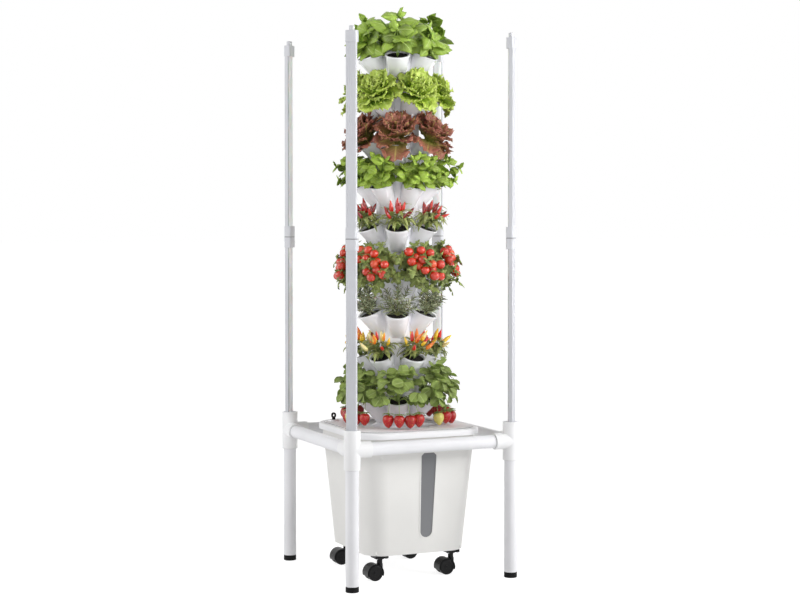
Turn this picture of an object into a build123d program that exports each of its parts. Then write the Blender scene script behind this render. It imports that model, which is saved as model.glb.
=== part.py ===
from build123d import *
from math import atan2, cos, degrees, radians, sin, tan
import os

# Hydroponic tower: nine planter tiers on a wheeled tank, inside a frame with four light poles.
# Millimetres, +Z up, origin on the floor at the middle of the frame.
# The level window faces -Y, and +X is to the right of it.

# Light frame
leg_spacing = 552.0  # between leg axes, both ways
pipe_diameter = 42.2
pipe_wall = 3.0
rail_height = 441.0  # axis of the rails
tee_length = 123.0
tee_diameter = 52.0
tee_arm_reach = 60.0  # from the leg's axis to the mouth of an arm
pipe_insert = 34.0  # pipe length held in a tee
pipe_clearance = 0.1
foot_height = 18.0
foot_plug_length = 25.0
foot_grooves = (5.0, 11.0)  # heights of the two grooves round a foot
foot_groove_width = 2.4
foot_groove_depth = 1.5

# Light poles
bar_width = 33.0
bar_depth = 19.0
bar_body_depth = 12.0
bar_wall = 1.8
bar_groove_pitch = 7.0
bar_groove_width = 1.4
bar_groove_depth = 0.6
lens_wall = 1.6
strip_width = 16.0
strip_thickness = 1.5
strip_end_gap = 8.0
lower_light_reach = 590.5  # from the tee's top to the seam between the bars
upper_light_length = 642.0  # from the seam to the top of the end cap
cap_length = 36.0
cap_width = 38.0
cap_depth = 25.0
cap_corner = 6.0
cap_pocket = 20.0  # bar length held in a cap
cap_edge = 1.0
base_pocket = 24.0  # bar length held in the plug in the tee
bar_clearance = 0.15
stud_diameter = 18.0
stud_height = 15.0
stud_chamfer = 2.0

# Tank
tank_bottom_height = 80.0
tank_bottom_half = 175.0
tank_bottom_corner = 68.0
tank_rim_height = 471.0
tank_rim_half = 209.0
tank_rim_corner = 78.0
tank_wall = 3.5
tank_floor = 5.0
rim_lip = 5.0
rim_lip_height = 6.0
window_offset = 20.0  # middle of the window, to the right of the tank's axis
window_bottom = 132.0
window_top = 407.0
window_top_width = 53.0
window_bottom_width = 42.0
window_chamfer = 9.0
window_recess = 0.8
window_clearance = 0.15
bezel_width = 4.0
bezel_rise = 1.2
tab_offset = -104.0  # bare plate on the front wall
tab_width = 82.0
tab_bottom = 390.0
tab_top = 436.0
tab_corner = 8.0
tab_rise = 3.0

# Lid
lid_half = 221.0
lid_corner = 92.0
lid_height = 22.0
lid_plate = 9.0
lid_skirt = 3.0
lid_edge = 6.0
lid_step_inset = 17.0  # from the lid's edge to its raised panel
lid_step = 2.5
dish_radius = 138.0
dish_depth = 6.5
drain_count = 12
drain_circle = 112.0
drain_radius = 4.0
filler_place = (-167.0, 150.0)
filler_radius = 15.0
filler_depth = 20.0
filler_flange_radius = 18.0
filler_flange_height = 4.0
filler_clearance = 0.3
loop_width = 16.0
loop_height = 26.0
loop_head = 19.0
loop_neck = 10.0
loop_hole_width = 6.0
loop_hole_height = 8.0
loop_thickness = 6.0
loop_root = 2.0
grommet_place = (165.0, 165.0)
grommet_radius = 9.0
grommet_flange = 3.0
grommet_lip = 2.0
grommet_bore = 4.0

# Tower
tier_count = 9
pots_per_tier = 6
tier_pitch = 139.5
tower_turn = 6.0  # degrees from +X to the first pot of the odd tiers
barrel_radius = 70.0
barrel_wall = 3.0
spigot_depth = 9.0
spigot_clearance = 0.15
mouth_circle = 105.0  # radius on which the pots' mouths are centred
mouth_height = 85.0  # above the tier's foot
mouth_radius = 39.5
mouth_tilt = 23.0
pot_foot_circle = 52.0
pot_foot_radius = 24.0
pot_foot_height = 5.0
pot_wall = 2.5
lip_width = 1.6
lip_height = 3.0
medium_drop = 6.0  # growing medium below the lip
medium_bottom = 30.0  # above the tier's foot
medium_clearance = 0.5
collar_height = 10.5
collar_flange = 14.0
collar_spigot = 15.0
collar_wall = 4.0
seat_clearance = 0.3
top_cap_height = 6.0
riser_radius = 12.5
riser_wall = 2.0
riser_headroom = 16.0

# Pump
pump_width = 84.0
pump_length = 66.0
pump_height = 62.0
pump_corner = 8.0
pump_axis_height = 34.0  # above the tank's floor
chamber_radius = 22.0
chamber_depth = 18.0
impeller_radius = 19.0
impeller_gap = 2.0
impeller_hub = 7.0
blade_count = 6
blade_thickness = 2.0
magnet_radius = 9.0
magnet_length = 28.0
magnet_gap = 0.6
shaft_radius = 2.5
shaft_tail = 6.0
shaft_clearance = 0.05
nipple_height = 14.0
nipple_wall = 2.5
cover_plate = 3.0
cover_depth = 14.0
cover_wall = 2.0
inlet_radius = 8.0
slot_count = 6
slot_width = 3.0

# Casters
caster_spacing_x = 252.0
caster_spacing_y = 284.0
caster_trail = 22.0
wheel_radius = 25.0
wheel_width = 15.0
wheel_gap = 14.0  # between the two wheels of a caster
wheel_edge = 3.0
hub_recess = 1.6
hub_rim = 6.0
axle_radius = 3.0
axle_clearance = 0.05
hood_clearance = 1.4
hood_wall = 2.2
hood_drop = 9.0  # how far the hood's ends reach below the axle
web_width = 10.0
stem_radius = 9.0
kingpin_radius = 5.0
kingpin_length = 6.0
plate_size = 46.0
plate_thickness = 9.0
plate_corner = 4.0
plate_boss_height = 4.0
plate_boss_radius = 14.0
screw_spacing = 34.0
screw_radius = 2.0
screw_head_radius = 3.6
screw_head_height = 2.2
screw_length = 17.0
pad_height = 9.0

# Plants
leaf_thickness = 2.0
stalk_radius = 1.6
crown_radius = 5.0
plant_gap = 0.6

MIN = (Align.CENTER, Align.CENTER, Align.MIN)
half_spacing = leg_spacing / 2
pipe_radius = pipe_diameter / 2
tee_top = rail_height + tee_length / 2
tee_bottom = rail_height - tee_length / 2
light_seam = tee_top + lower_light_reach
light_top = light_seam + upper_light_length
lid_top = tank_rim_height + lid_plate
tank_floor_top = tank_bottom_height + tank_floor
tower_foot = lid_top - dish_depth + collar_height
tower_top = tower_foot + tier_count * tier_pitch
seat_radius = barrel_radius - barrel_wall - spigot_clearance - collar_wall
pump_axis = tank_floor_top + pump_axis_height
pump_top = tank_floor_top + pump_height

corners = {
    "front_left": (-1, -1),
    "front_right": (1, -1),
    "rear_right": (1, 1),
    "rear_left": (-1, 1),
}


def save(name, *solids):
    """Write one node's solids to its own file."""
    group = [solid for item in solids for solid in item.solids()]
    export_step(group[0] if len(group) == 1 else Compound(children=group), f"parts/{name}.step")


def tube(radius, wall, length):
    return Cylinder(radius, length, align=MIN) - Cylinder(radius - wall, length, align=MIN)


def corner_tee():
    """Four-way corner fitting at the origin, with arms along +X and +Y."""
    radius = tee_diameter / 2
    bore = pipe_radius + pipe_clearance
    body = Cylinder(radius, tee_length)
    hollow = Cylinder(bore, tee_length)
    for turn in (Rot(0, 90, 0), Rot(-90, 0, 0)):
        body += turn * Cylinder(radius, tee_arm_reach, align=MIN)
        hollow += turn * Cylinder(bore, tee_arm_reach, align=MIN)
    return body - hollow


def frame_pieces():
    tee = corner_tee()
    leg = tube(pipe_radius, pipe_wall, tee_bottom + pipe_insert - foot_height)
    rail_length = leg_spacing - 2 * (tee_arm_reach - pipe_insert)
    rail = Rot(0, 90, 0) * Pos(0, 0, -rail_length / 2) * tube(pipe_radius, pipe_wall, rail_length)
    foot = Cylinder(pipe_radius, foot_height, align=MIN)
    foot = chamfer(foot.edges().group_by(Axis.Z)[0], pipe_wall / 2)
    for height in foot_grooves:
        ring = Cylinder(pipe_radius, foot_groove_width, align=MIN)
        ring -= Cylinder(pipe_radius - foot_groove_depth, foot_groove_width, align=MIN)
        foot -= Pos(0, 0, height) * ring
    plug_radius = pipe_radius - pipe_wall - pipe_clearance
    foot += Pos(0, 0, foot_height) * Cylinder(plug_radius, foot_plug_length, align=MIN)
    feet = []
    for number, (name, (side_x, side_y)) in enumerate(corners.items()):
        place = Pos(side_x * half_spacing, side_y * half_spacing, 0)
        save(f"leg_{name}", place * Pos(0, 0, foot_height) * leg)
        save(f"corner_tee_{name}", place * Pos(0, 0, rail_height) * Rot(0, 0, 90 * number) * tee)
        feet.append(place * foot)
    save("foot_caps", *feet)
    for number, name in enumerate(("front", "right", "rear", "left")):
        save(f"rail_{name}", Rot(0, 0, 90 * number) * Pos(0, -half_spacing, rail_height) * rail)


def bar_outline(grow=0.0):
    """Section of a light bar: flat back at -X, domed lens at +X."""
    back = -bar_depth / 2 - grow
    face = bar_body_depth - bar_depth / 2
    side = bar_width / 2 + grow
    peak = bar_depth / 2 + grow
    dome = ThreePointArc((face, -side), (peak, 0), (face, side))
    rest = Polyline((face, side), (back, side), (back, -side), (face, -side))
    return make_face([dome, rest])


def bar_body_section():
    back = -bar_depth / 2
    channel_depth = bar_body_depth - bar_wall
    body = Pos(back + bar_body_depth / 2, 0) * Rectangle(bar_body_depth, bar_width)
    channel = Rectangle(channel_depth, bar_width - 2 * bar_wall, align=(Align.MIN, Align.CENTER))
    body -= Pos(back + bar_wall, 0) * channel
    for step in (-1.5, -0.5, 0.5, 1.5):
        groove = Rectangle(2 * bar_groove_depth, bar_groove_width)
        body -= Pos(back, step * bar_groove_pitch) * groove
    return body


def lens_section():
    face = bar_body_depth - bar_depth / 2

    def dome(inset):
        side = bar_width / 2 - inset
        peak = bar_depth / 2 - inset
        return make_face([ThreePointArc((face, -side), (peak, 0), (face, side)),
                          Line((face, side), (face, -side))])
    return dome(0) - dome(lens_wall)


def end_cap():
    """Bar end fitting, with its closed end at z = 0 and the bar's pocket at the top."""
    cap = extrude(RectangleRounded(cap_depth, cap_width, cap_corner), cap_length)
    cap = chamfer(cap.edges().group_by(Axis.Z)[0], cap_edge)
    return cap - Pos(0, 0, cap_length - cap_pocket) * extrude(bar_outline(bar_clearance), cap_pocket)


def light_pieces():
    lower_from = tee_top - base_pocket
    lower_to = light_seam - cap_length + cap_pocket
    upper_from = light_seam + cap_length - cap_pocket
    upper_to = light_top - cap_length + cap_pocket
    cap = end_cap()
    turned_cap = Rot(180, 0, 0) * cap
    stud = Cylinder(stud_diameter / 2, stud_height, align=MIN)
    stud = chamfer(stud.edges().group_by(Axis.Z)[-1], stud_chamfer)
    top_cap = Pos(0, 0, light_top) * (turned_cap + stud)
    plug = Cylinder(pipe_radius, pipe_insert, align=MIN)
    plug -= Pos(0, 0, pipe_insert - base_pocket) * extrude(bar_outline(bar_clearance), base_pocket)
    fittings = [
        Pos(0, 0, tee_top - pipe_insert) * plug,
        Pos(0, 0, light_seam) * turned_cap,
        Pos(0, 0, light_seam) * cap,
    ]
    body, lens = bar_body_section(), lens_section()
    strip_back = bar_wall - bar_depth / 2

    def poles(shapes):
        for side_x, side_y in corners.values():
            facing = degrees(atan2(-side_y, -side_x))
            place = Pos(side_x * half_spacing, side_y * half_spacing, 0) * Rot(0, 0, facing)
            for shape in shapes:
                yield place * shape

    lenses, strips = [], []
    for name, start, end in (("lower", lower_from, lower_to), ("upper", upper_from, upper_to)):
        save(f"{name}_light_bodies", *poles([Pos(0, 0, start) * extrude(body, end - start)]))
        lenses.append(Pos(0, 0, start) * extrude(lens, end - start))
        strip = Box(strip_thickness, strip_width, end - start - 2 * strip_end_gap,
                    align=(Align.MIN, Align.CENTER, Align.MIN))
        strips.append(Pos(strip_back, 0, start + strip_end_gap) * strip)
    save("light_lenses", *poles(lenses))
    save("led_strips", *poles(strips))
    save("light_end_fittings", *poles(fittings))
    save("light_top_caps", *poles([top_cap]))


def tank_block(grow, low, high):
    """The tank's tapered rounded square between two heights, with its sides moved out by grow."""
    sections = []
    for height in (low, high):
        share = (height - tank_bottom_height) / (tank_rim_height - tank_bottom_height)
        half = tank_bottom_half + share * (tank_rim_half - tank_bottom_half) + grow
        corner = tank_bottom_corner + share * (tank_rim_corner - tank_bottom_corner) + grow
        sections.append(Pos(0, 0, height) * RectangleRounded(2 * half, 2 * half, corner))
    return loft(sections, ruled=True)


def front_prism(outline):
    """A prism from the tank's axis out through its front wall."""
    return extrude(Plane.XZ * outline, 2 * tank_rim_half)


def window_outline(grow):
    low_half = window_bottom_width / 2
    top_half = window_top_width / 2 + grow
    spring = window_bottom + low_half
    cut = window_chamfer + grow / 2
    points = [
        (low_half + grow, spring),
        (top_half, window_top - window_chamfer),
        (top_half - cut, window_top + grow),
        (cut - top_half, window_top + grow),
        (-top_half, window_top - window_chamfer),
        (-low_half - grow, spring),
    ]
    round_end = ThreePointArc(points[-1], (0, window_bottom - grow), points[0])
    return Pos(window_offset, 0) * make_face([Polyline(*points), round_end])


def caster_places():
    for name, (side_x, side_y) in corners.items():
        yield name, Pos(side_x * caster_spacing_x / 2, side_y * caster_spacing_y / 2, 0)


def screw_places():
    for _, place in caster_places():
        for spot in GridLocations(screw_spacing, screw_spacing, 2, 2):
            yield place * spot


def tank_pieces():
    tub = tank_block(0, tank_bottom_height, tank_rim_height)
    lip_half = tank_rim_half + rim_lip
    lip = extrude(RectangleRounded(2 * lip_half, 2 * lip_half, tank_rim_corner + rim_lip), -rim_lip_height)
    tub += Pos(0, 0, tank_rim_height) * lip
    frame_wall = tank_block(bezel_rise, window_bottom - tank_wall * 4, window_top + tank_wall * 4)
    tub += frame_wall & front_prism(window_outline(bezel_width))
    tab = Pos(tab_offset, (tab_bottom + tab_top) / 2)
    tab *= RectangleRounded(tab_width, tab_top - tab_bottom, tab_corner)
    tub += tank_block(tab_rise, tank_bottom_height, tank_rim_height) & front_prism(tab)
    tub -= tank_block(-tank_wall, tank_floor_top, tank_rim_height)
    tub -= front_prism(window_outline(0))
    for _, place in caster_places():
        tub += place * Pos(0, 0, tank_floor_top) * Box(plate_size, plate_size, pad_height, align=MIN)
    for place in screw_places():
        hole = Cylinder(screw_radius, screw_length - plate_thickness, align=MIN)
        tub -= place * Pos(0, 0, tank_bottom_height) * hole
    save("tank_tub", tub)
    pane = tank_block(-window_recess, tank_bottom_height, tank_rim_height)
    pane -= tank_block(-tank_wall, tank_bottom_height, tank_rim_height)
    save("level_window", pane & front_prism(window_outline(-window_clearance)))
    riser_length = tower_top - riser_headroom - pump_top
    save("riser_pipe", Pos(0, 0, pump_top) * tube(riser_radius, riser_wall, riser_length))


def lid_pieces():
    skirt_low = lid_top - lid_height
    lid = extrude(RectangleRounded(2 * lid_half, 2 * lid_half, lid_corner), lid_height - lid_step)
    lid = Pos(0, 0, skirt_low) * lid
    lid = fillet(lid.edges().group_by(Axis.Z)[-1], lid_edge)
    inner = lid_half - lid_skirt
    hollow = extrude(RectangleRounded(2 * inner, 2 * inner, lid_corner - lid_skirt), lid_height - lid_plate)
    lip_room = inner - tank_rim_half - rim_lip
    shoulder = fillet(hollow.edges().group_by(Axis.Z)[-1], min(lip_room, lid_edge - lid_skirt))
    lid -= Pos(0, 0, skirt_low) * shoulder
    border = lid_half - lid_step_inset
    panel = RectangleRounded(2 * border, 2 * border, lid_corner - lid_step_inset)
    lid += Pos(0, 0, lid_top - lid_step) * extrude(panel, lid_step)
    lid -= Pos(0, 0, lid_top) * extrude(Circle(dish_radius), -dish_depth)
    lid -= Pos(0, 0, skirt_low) * Cylinder(seat_radius + seat_clearance, lid_height, align=MIN)
    for spot in PolarLocations(drain_circle, drain_count):
        lid -= spot * Pos(0, 0, skirt_low) * Cylinder(drain_radius, lid_height, align=MIN)
    filler = Pos(*filler_place, 0)
    grommet = Pos(*grommet_place, 0)
    lid -= filler * Pos(0, 0, skirt_low) * Cylinder(filler_radius + filler_clearance, lid_height, align=MIN)
    lid -= grommet * Pos(0, 0, skirt_low) * Cylinder(grommet_radius, lid_height, align=MIN)
    save("tank_lid", lid)

    plug = Pos(0, 0, -filler_depth) * Cylinder(filler_radius, filler_depth, align=MIN)
    flange = Cylinder(filler_flange_radius, filler_flange_height, align=MIN)
    plug += fillet(flange.edges().group_by(Axis.Z)[-1], filler_flange_height / 2)
    head = Pos(0, loop_height - loop_head / 2) * Rot(0, 0, 90)
    outline = head * SlotOverall(loop_head, loop_width)
    outline += Pos(0, loop_head / 2) * Rectangle(loop_neck, loop_head)
    outline -= head * SlotOverall(loop_hole_height, loop_hole_width)
    upright = Pos(0, loop_thickness / 2, filler_flange_height - loop_root)
    loop = upright * extrude(Plane.XZ * outline, loop_thickness)
    at_lid = filler * Pos(0, 0, lid_top)
    save("filler_plug", at_lid * (plug - loop))
    save("filler_pull_loop", at_lid * loop)

    edge_low = lid_top - lid_plate
    lip = Cylinder(grommet_radius + grommet_flange, grommet_lip, align=MIN)
    ring = Pos(0, 0, edge_low - grommet_lip) * lip + Pos(0, 0, lid_top) * lip
    ring += Pos(0, 0, edge_low) * Cylinder(grommet_radius, lid_plate, align=MIN)
    bore = Cylinder(grommet_bore, lid_plate + 2 * grommet_lip, align=MIN)
    save("cable_grommet", grommet * (ring - Pos(0, 0, edge_low - grommet_lip) * bore))


def pump_pieces():
    front = -chamber_depth / 2
    base = Pos(0, front + pump_length / 2, tank_floor_top)
    body = base * extrude(RectangleRounded(pump_width, pump_length, pump_corner), pump_height)
    nipple_radius = riser_radius - riser_wall - shaft_clearance
    body += Pos(0, 0, pump_top) * Cylinder(nipple_radius, nipple_height, align=MIN)
    along = Pos(0, front, pump_axis) * Rot(-90, 0, 0)
    well = chamber_depth + magnet_gap + magnet_length + magnet_gap
    body -= along * Cylinder(chamber_radius, chamber_depth, align=MIN)
    body -= along * Cylinder(magnet_radius + magnet_gap, well, align=MIN)
    body -= along * Cylinder(shaft_radius + shaft_clearance, well + shaft_tail, align=MIN)
    outlet = pump_top + nipple_height - pump_axis
    body -= Pos(0, 0, pump_axis) * Cylinder(nipple_radius - nipple_wall, outlet, align=MIN)
    save("pump_body", body)

    blade_depth = chamber_depth - 2 * impeller_gap
    impeller = Cylinder(impeller_hub, blade_depth, align=MIN)
    for spot in PolarLocations(0, blade_count):
        blade = Box(impeller_radius, blade_thickness, blade_depth, align=(Align.MIN, Align.CENTER, Align.MIN))
        impeller += spot * blade
    tail = well + shaft_tail - impeller_gap
    impeller += Cylinder(shaft_radius, tail, align=MIN)
    magnet_from = chamber_depth - impeller_gap + magnet_gap
    impeller += Pos(0, 0, magnet_from) * Cylinder(magnet_radius, magnet_length, align=MIN)
    save("pump_impeller", along * Pos(0, 0, impeller_gap) * impeller)

    size = (pump_width - 2 * pump_corner, pump_height - 2 * cover_wall)
    shell = extrude(RectangleRounded(*size, pump_corner), cover_depth)
    shell -= Pos(0, 0, cover_plate) * extrude(
        RectangleRounded(size[0] - 2 * cover_wall, size[1] - 2 * cover_wall, pump_corner - cover_wall),
        cover_depth - cover_plate - cover_wall)
    shell -= Cylinder(inlet_radius, cover_plate, align=MIN)
    slot_pitch = (size[0] - 2 * pump_corner) / slot_count
    for spot in GridLocations(slot_pitch, 0, slot_count, 1):
        slot = Box(slot_width, size[1] - 2 * pump_corner, cover_wall, align=MIN)
        shell -= spot * Pos(0, 0, cover_depth - cover_wall) * slot
    middle = tank_floor_top + pump_height / 2
    save("pump_cover", Pos(0, front, middle) * Rot(90, 0, 0) * shell)


def caster_pieces():
    """Twin-wheel casters, each with its swivel axis on its place and its wheels trailing to -X."""
    plate_low = tank_bottom_height - plate_thickness
    boss_low = plate_low - plate_boss_height
    plate = Pos(0, 0, plate_low) * Box(plate_size, plate_size, plate_thickness, align=MIN)
    plate = fillet(plate.edges().filter_by(Axis.Z), plate_corner)
    plate += Pos(0, 0, boss_low) * Cylinder(plate_boss_radius, plate_boss_height, align=MIN)
    pin_room = kingpin_radius + axle_clearance
    plate -= Pos(0, 0, boss_low) * Cylinder(pin_room, kingpin_length + axle_clearance, align=MIN)
    for spot in GridLocations(screw_spacing, screw_spacing, 2, 2):
        plate -= spot * Pos(0, 0, plate_low) * Cylinder(screw_radius, plate_thickness, align=MIN)

    across = Pos(-caster_trail, 0, wheel_radius) * Rot(-90, 0, 0)
    hood_inner = wheel_radius + hood_clearance
    hood_outer = hood_inner + hood_wall
    hood_width = wheel_gap + 2 * wheel_width
    shell = Cylinder(hood_outer, hood_width) - Cylinder(hood_inner, hood_width)
    shell += Cylinder(hood_outer, web_width)
    hood = across * shell
    kept = Box(4 * hood_outer, hood_width, 2 * hood_outer, align=MIN)
    hood &= Pos(-caster_trail, 0, wheel_radius - hood_drop) * kept
    stem_low = wheel_radius + hood_inner * cos(radians(30))
    neck = Box(caster_trail + stem_radius, web_width, stem_low + plate_boss_height - wheel_radius, align=MIN)
    hood += Pos((stem_radius - caster_trail) / 2, 0, wheel_radius) * neck
    hood += Pos(0, 0, stem_low) * Cylinder(stem_radius, boss_low - stem_low, align=MIN)
    hood += Pos(0, 0, boss_low) * Cylinder(kingpin_radius, kingpin_length, align=MIN)
    hood -= across * Cylinder(hood_inner, hood_width) - across * Cylinder(hood_inner, web_width)
    hood -= across * Cylinder(axle_radius + axle_clearance, hood_width)

    wheel = Cylinder(wheel_radius, wheel_width, align=MIN)
    wheel = fillet(wheel.edges(), wheel_edge)
    dish = Cylinder(wheel_radius - hub_rim, hub_recess, align=MIN)
    dish -= Cylinder(axle_radius + hub_rim / 2, hub_recess, align=MIN)
    wheel -= Pos(0, 0, wheel_width - hub_recess) * dish
    wheel -= Cylinder(axle_radius, wheel_width, align=MIN)
    outward = Pos(0, 0, wheel_gap / 2) * wheel
    axle = Cylinder(axle_radius, wheel_gap + 2 * wheel_width)
    wheels = [across * outward, across * Rot(180, 0, 0) * outward, across * axle]

    screw = Pos(0, 0, -screw_head_height) * Cylinder(screw_head_radius, screw_head_height, align=MIN)
    screw += Cylinder(screw_radius, screw_length, align=MIN)
    screw = Pos(0, 0, plate_low) * screw
    plates = []
    for name, place in caster_places():
        plates.append(place * plate)
        save(f"caster_hood_{name}", place * hood)
        save(f"caster_wheels_{name}", *[place * part for part in wheels])
    save("caster_plates", *plates)
    save("caster_screws", *[place * screw for place in screw_places()])


mouth_plane = Plane(
    origin=(mouth_circle, 0, mouth_height),
    x_dir=(cos(radians(mouth_tilt)), 0, -sin(radians(mouth_tilt))),
    z_dir=(sin(radians(mouth_tilt)), 0, cos(radians(mouth_tilt))),
)


def pot_block(inset, rise=0.0):
    """One pot's flared body, pointing to +X, with its surface moved in by inset.

    It ends at the plane of the mouth, or rise above it.
    """
    foot = Pos(pot_foot_circle, 0, pot_foot_height + max(inset, 0)) * Circle(pot_foot_radius - inset)
    return loft([foot, mouth_plane * Pos(0, 0, rise) * Circle(mouth_radius - inset)], ruled=True)


def lip_disc(grow):
    """The rim round a pot's mouth, as a solid disc."""
    disc = Cylinder(mouth_radius + lip_width + grow, lip_height + grow, align=MIN)
    return mouth_plane * Pos(0, 0, -lip_height) * disc


def planter_tier():
    """One tier standing on z = 0, with its first pot towards +X."""
    tier = Cylinder(barrel_radius, tier_pitch, align=MIN)
    inner = barrel_radius - barrel_wall
    pot = pot_block(0, -lip_height / 2) + lip_disc(0)
    hollow = pot_block(pot_wall, lip_height)
    turns = PolarLocations(0, pots_per_tier)
    tier += [turn * pot for turn in turns]
    spigot = inner - spigot_clearance
    tier += Pos(0, 0, -spigot_depth) * Cylinder(spigot, spigot_depth, align=MIN)
    way_in = Cylinder(spigot - barrel_wall, spigot_depth + pot_foot_height, align=MIN)
    tier -= Pos(0, 0, -spigot_depth) * way_in
    tier -= Cylinder(inner, tier_pitch, align=MIN) - Cylinder(inner, pot_foot_height, align=MIN)
    tier -= [turn * hollow for turn in turns]
    return tier


def medium_plug():
    """Growing medium in the pot towards +X of a tier that stands on z = 0."""
    reach = 4 * mouth_radius
    below = mouth_plane * Pos(0, 0, -medium_drop) * Box(
        reach, reach, reach, align=(Align.CENTER, Align.CENTER, Align.MAX))
    above = Pos(mouth_circle, 0, medium_bottom) * Box(reach, reach, reach, align=MIN)
    return pot_block(pot_wall + medium_clearance, lip_height) & below & above


def tier_place(tier):
    """Where a tier stands, counted from 1 at the top. Every second tier is turned by half a step."""
    half_step = 180 / pots_per_tier if tier % 2 == 0 else 0
    return Pos(0, 0, tower_foot + (tier_count - tier) * tier_pitch) * Rot(0, 0, tower_turn + half_step)


def tower_pieces():
    tier = planter_tier()
    plug = medium_plug()
    plugs = []
    for number in range(1, tier_count + 1):
        save(f"tier_{number}", tier_place(number) * tier)
        for turn in PolarLocations(0, pots_per_tier):
            plugs.append(tier_place(number) * turn * plug)
    save("growing_medium", *plugs)

    inner = barrel_radius - barrel_wall
    seat = lid_top - dish_depth
    collar = Cylinder(barrel_radius, collar_height, align=MIN)
    flange = Cone(barrel_radius + collar_flange, barrel_radius, collar_height, align=MIN)
    collar += flange
    collar -= Cylinder(inner, collar_height, align=MIN)
    floor_height = collar_height - spigot_depth
    neck = Cylinder(seat_radius, collar_spigot + floor_height, align=MIN)
    bore = Cylinder(seat_radius - collar_wall, collar_spigot + collar_height, align=MIN)
    collar += Cylinder(inner, floor_height, align=MIN) + Pos(0, 0, -collar_spigot) * neck
    save("base_collar", Pos(0, 0, seat) * (collar - Pos(0, 0, -collar_spigot) * bore))

    cap = Cylinder(barrel_radius, top_cap_height, align=MIN)
    cap = fillet(cap.edges().group_by(Axis.Z)[-1], top_cap_height / 2)
    ring = Pos(0, 0, -spigot_depth) * tube(inner - spigot_clearance, barrel_wall, spigot_depth)
    save("tower_cap", Pos(0, 0, tower_top) * (cap + ring))
    return plug


def stalk(start, end, radius=stalk_radius):
    start, end = Vector(*start), Vector(*end)
    along = end - start
    return Plane(origin=start, z_dir=along) * Cylinder(radius, along.length, align=MIN)


def pointed_leaf(length, width):
    """A flat pointed leaf in the XY plane, from the origin along +X."""
    sides = [ThreePointArc((0, 0), (length / 2, side * width / 2), (length, 0)) for side in (-1, 1)]
    return Pos(0, 0, -leaf_thickness / 2) * extrude(make_face(sides), leaf_thickness)


def lobed_leaf(length, width, lobes, bulge):
    """A flat leaf with a narrow foot at the origin and a round blade with a scalloped edge."""
    blade = width / 2
    middle = length - blade
    sweep = 280.0
    foot = (0, stalk_radius)

    def rim(step, radius):
        angle = radians(-sweep / 2 + sweep * step / lobes)
        return (middle + radius * cos(angle), radius * sin(angle))

    edges = [Polyline(rim(lobes, blade), foot, (foot[0], -foot[1]), rim(0, blade))]
    for lobe in range(lobes):
        crest = rim(lobe + 0.5, blade * (1 + bulge))
        edges.append(ThreePointArc(rim(lobe, blade), crest, rim(lobe + 1, blade)))
    return Pos(0, 0, -leaf_thickness / 2) * extrude(make_face(edges), leaf_thickness)


def set_leaf(leaf, base, turn, rise):
    """A leaf at base, pointing turn degrees from outward and rise degrees above level."""
    return Pos(*base) * Rot(0, 0, turn) * Rot(0, -rise, 0) * leaf


def point(base, turn, rise, distance):
    flat = distance * cos(radians(rise))
    return (
        base[0] + flat * cos(radians(turn)),
        base[1] + flat * sin(radians(turn)),
        base[2] + distance * sin(radians(rise)),
    )


root = (0, 0, 0)


def crown():
    """The foot of a plant, from inside the growing medium to just above it."""
    return stalk((0, 0, -mouth_radius / 2), (0, 0, stalk_radius), crown_radius)


def leafy_stem(foot, turn, rise, length, nodes, leaf_length, leaf_width, first_turn=0.0):
    """A stem with opposite pairs of pointed leaves, smaller towards the tip."""
    yield stalk(foot, point(foot, turn, rise, length))
    for node in range(nodes):
        share = (node + 1) / nodes
        size = 1 - 0.35 * share
        base = point(foot, turn, rise, length * share - stalk_radius)
        for side in (0, 180):
            leaf = pointed_leaf(leaf_length * size, leaf_width * size)
            yield set_leaf(leaf, base, turn + first_turn + 90 * node + side, 12 + 38 * share)


def basil(height):
    yield crown()
    yield from leafy_stem(root, 0, 84, height, 5, 66, 48, 45)
    for turn, rise in ((-58, 62), (58, 62), (0, 46), (180, 80)):
        yield from leafy_stem(root, turn, rise, 0.66 * height, 3, 62, 46, 20)


def lettuce(rings, lobes, bulge):
    """A rosette of frilled leaves, opened away from the tower."""
    yield crown()
    yield stalk(root, (4, 0, 16), crown_radius)
    for turns, rise, length, width in rings:
        for turn in turns:
            leaf = lobed_leaf(length, width, lobes, bulge)
            yield set_leaf(leaf, (2, 0, 4 + 0.1 * rise), turn, rise)


def green_lettuce():
    return lettuce((
        ((-42, 0, 42), 4, 92, 72),
        ((-66, -22, 22, 66), 34, 96, 70),
        ((-110, 110), 52, 62, 52),
        ((-30, 30), 62, 98, 66),
        ((0, 180), 80, 62, 50),
    ), 9, 0.16)


def red_lettuce():
    return lettuce((
        ((-40, 0, 40), -4, 78, 56),
        ((-64, -20, 20, 64), 28, 82, 56),
        ((-105, 105), 48, 58, 46),
        ((-28, 28), 58, 86, 54),
        ((0, 180), 78, 56, 44),
    ), 7, 0.26)


def mint():
    yield crown()
    for turn, rise, length, first in (
            (0, 28, 112, 60), (-34, 46, 104, 30), (34, 46, 104, 90), (0, 62, 96, 20), (-66, 44, 66, 45),
            (66, 44, 66, 0), (-16, 8, 92, 80)):
        yield from leafy_stem(root, turn, rise, length, 3, 44, 30, first)


def chilli():
    """An upright pod on the end of its stalk, along +X from the origin."""
    pod = make_face(Polyline((0, 0), (0, 4.5), (9, 6.5), (22, 5), (33, 1), (33, 0), close=True))
    return revolve(pod, Axis.X)


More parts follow.
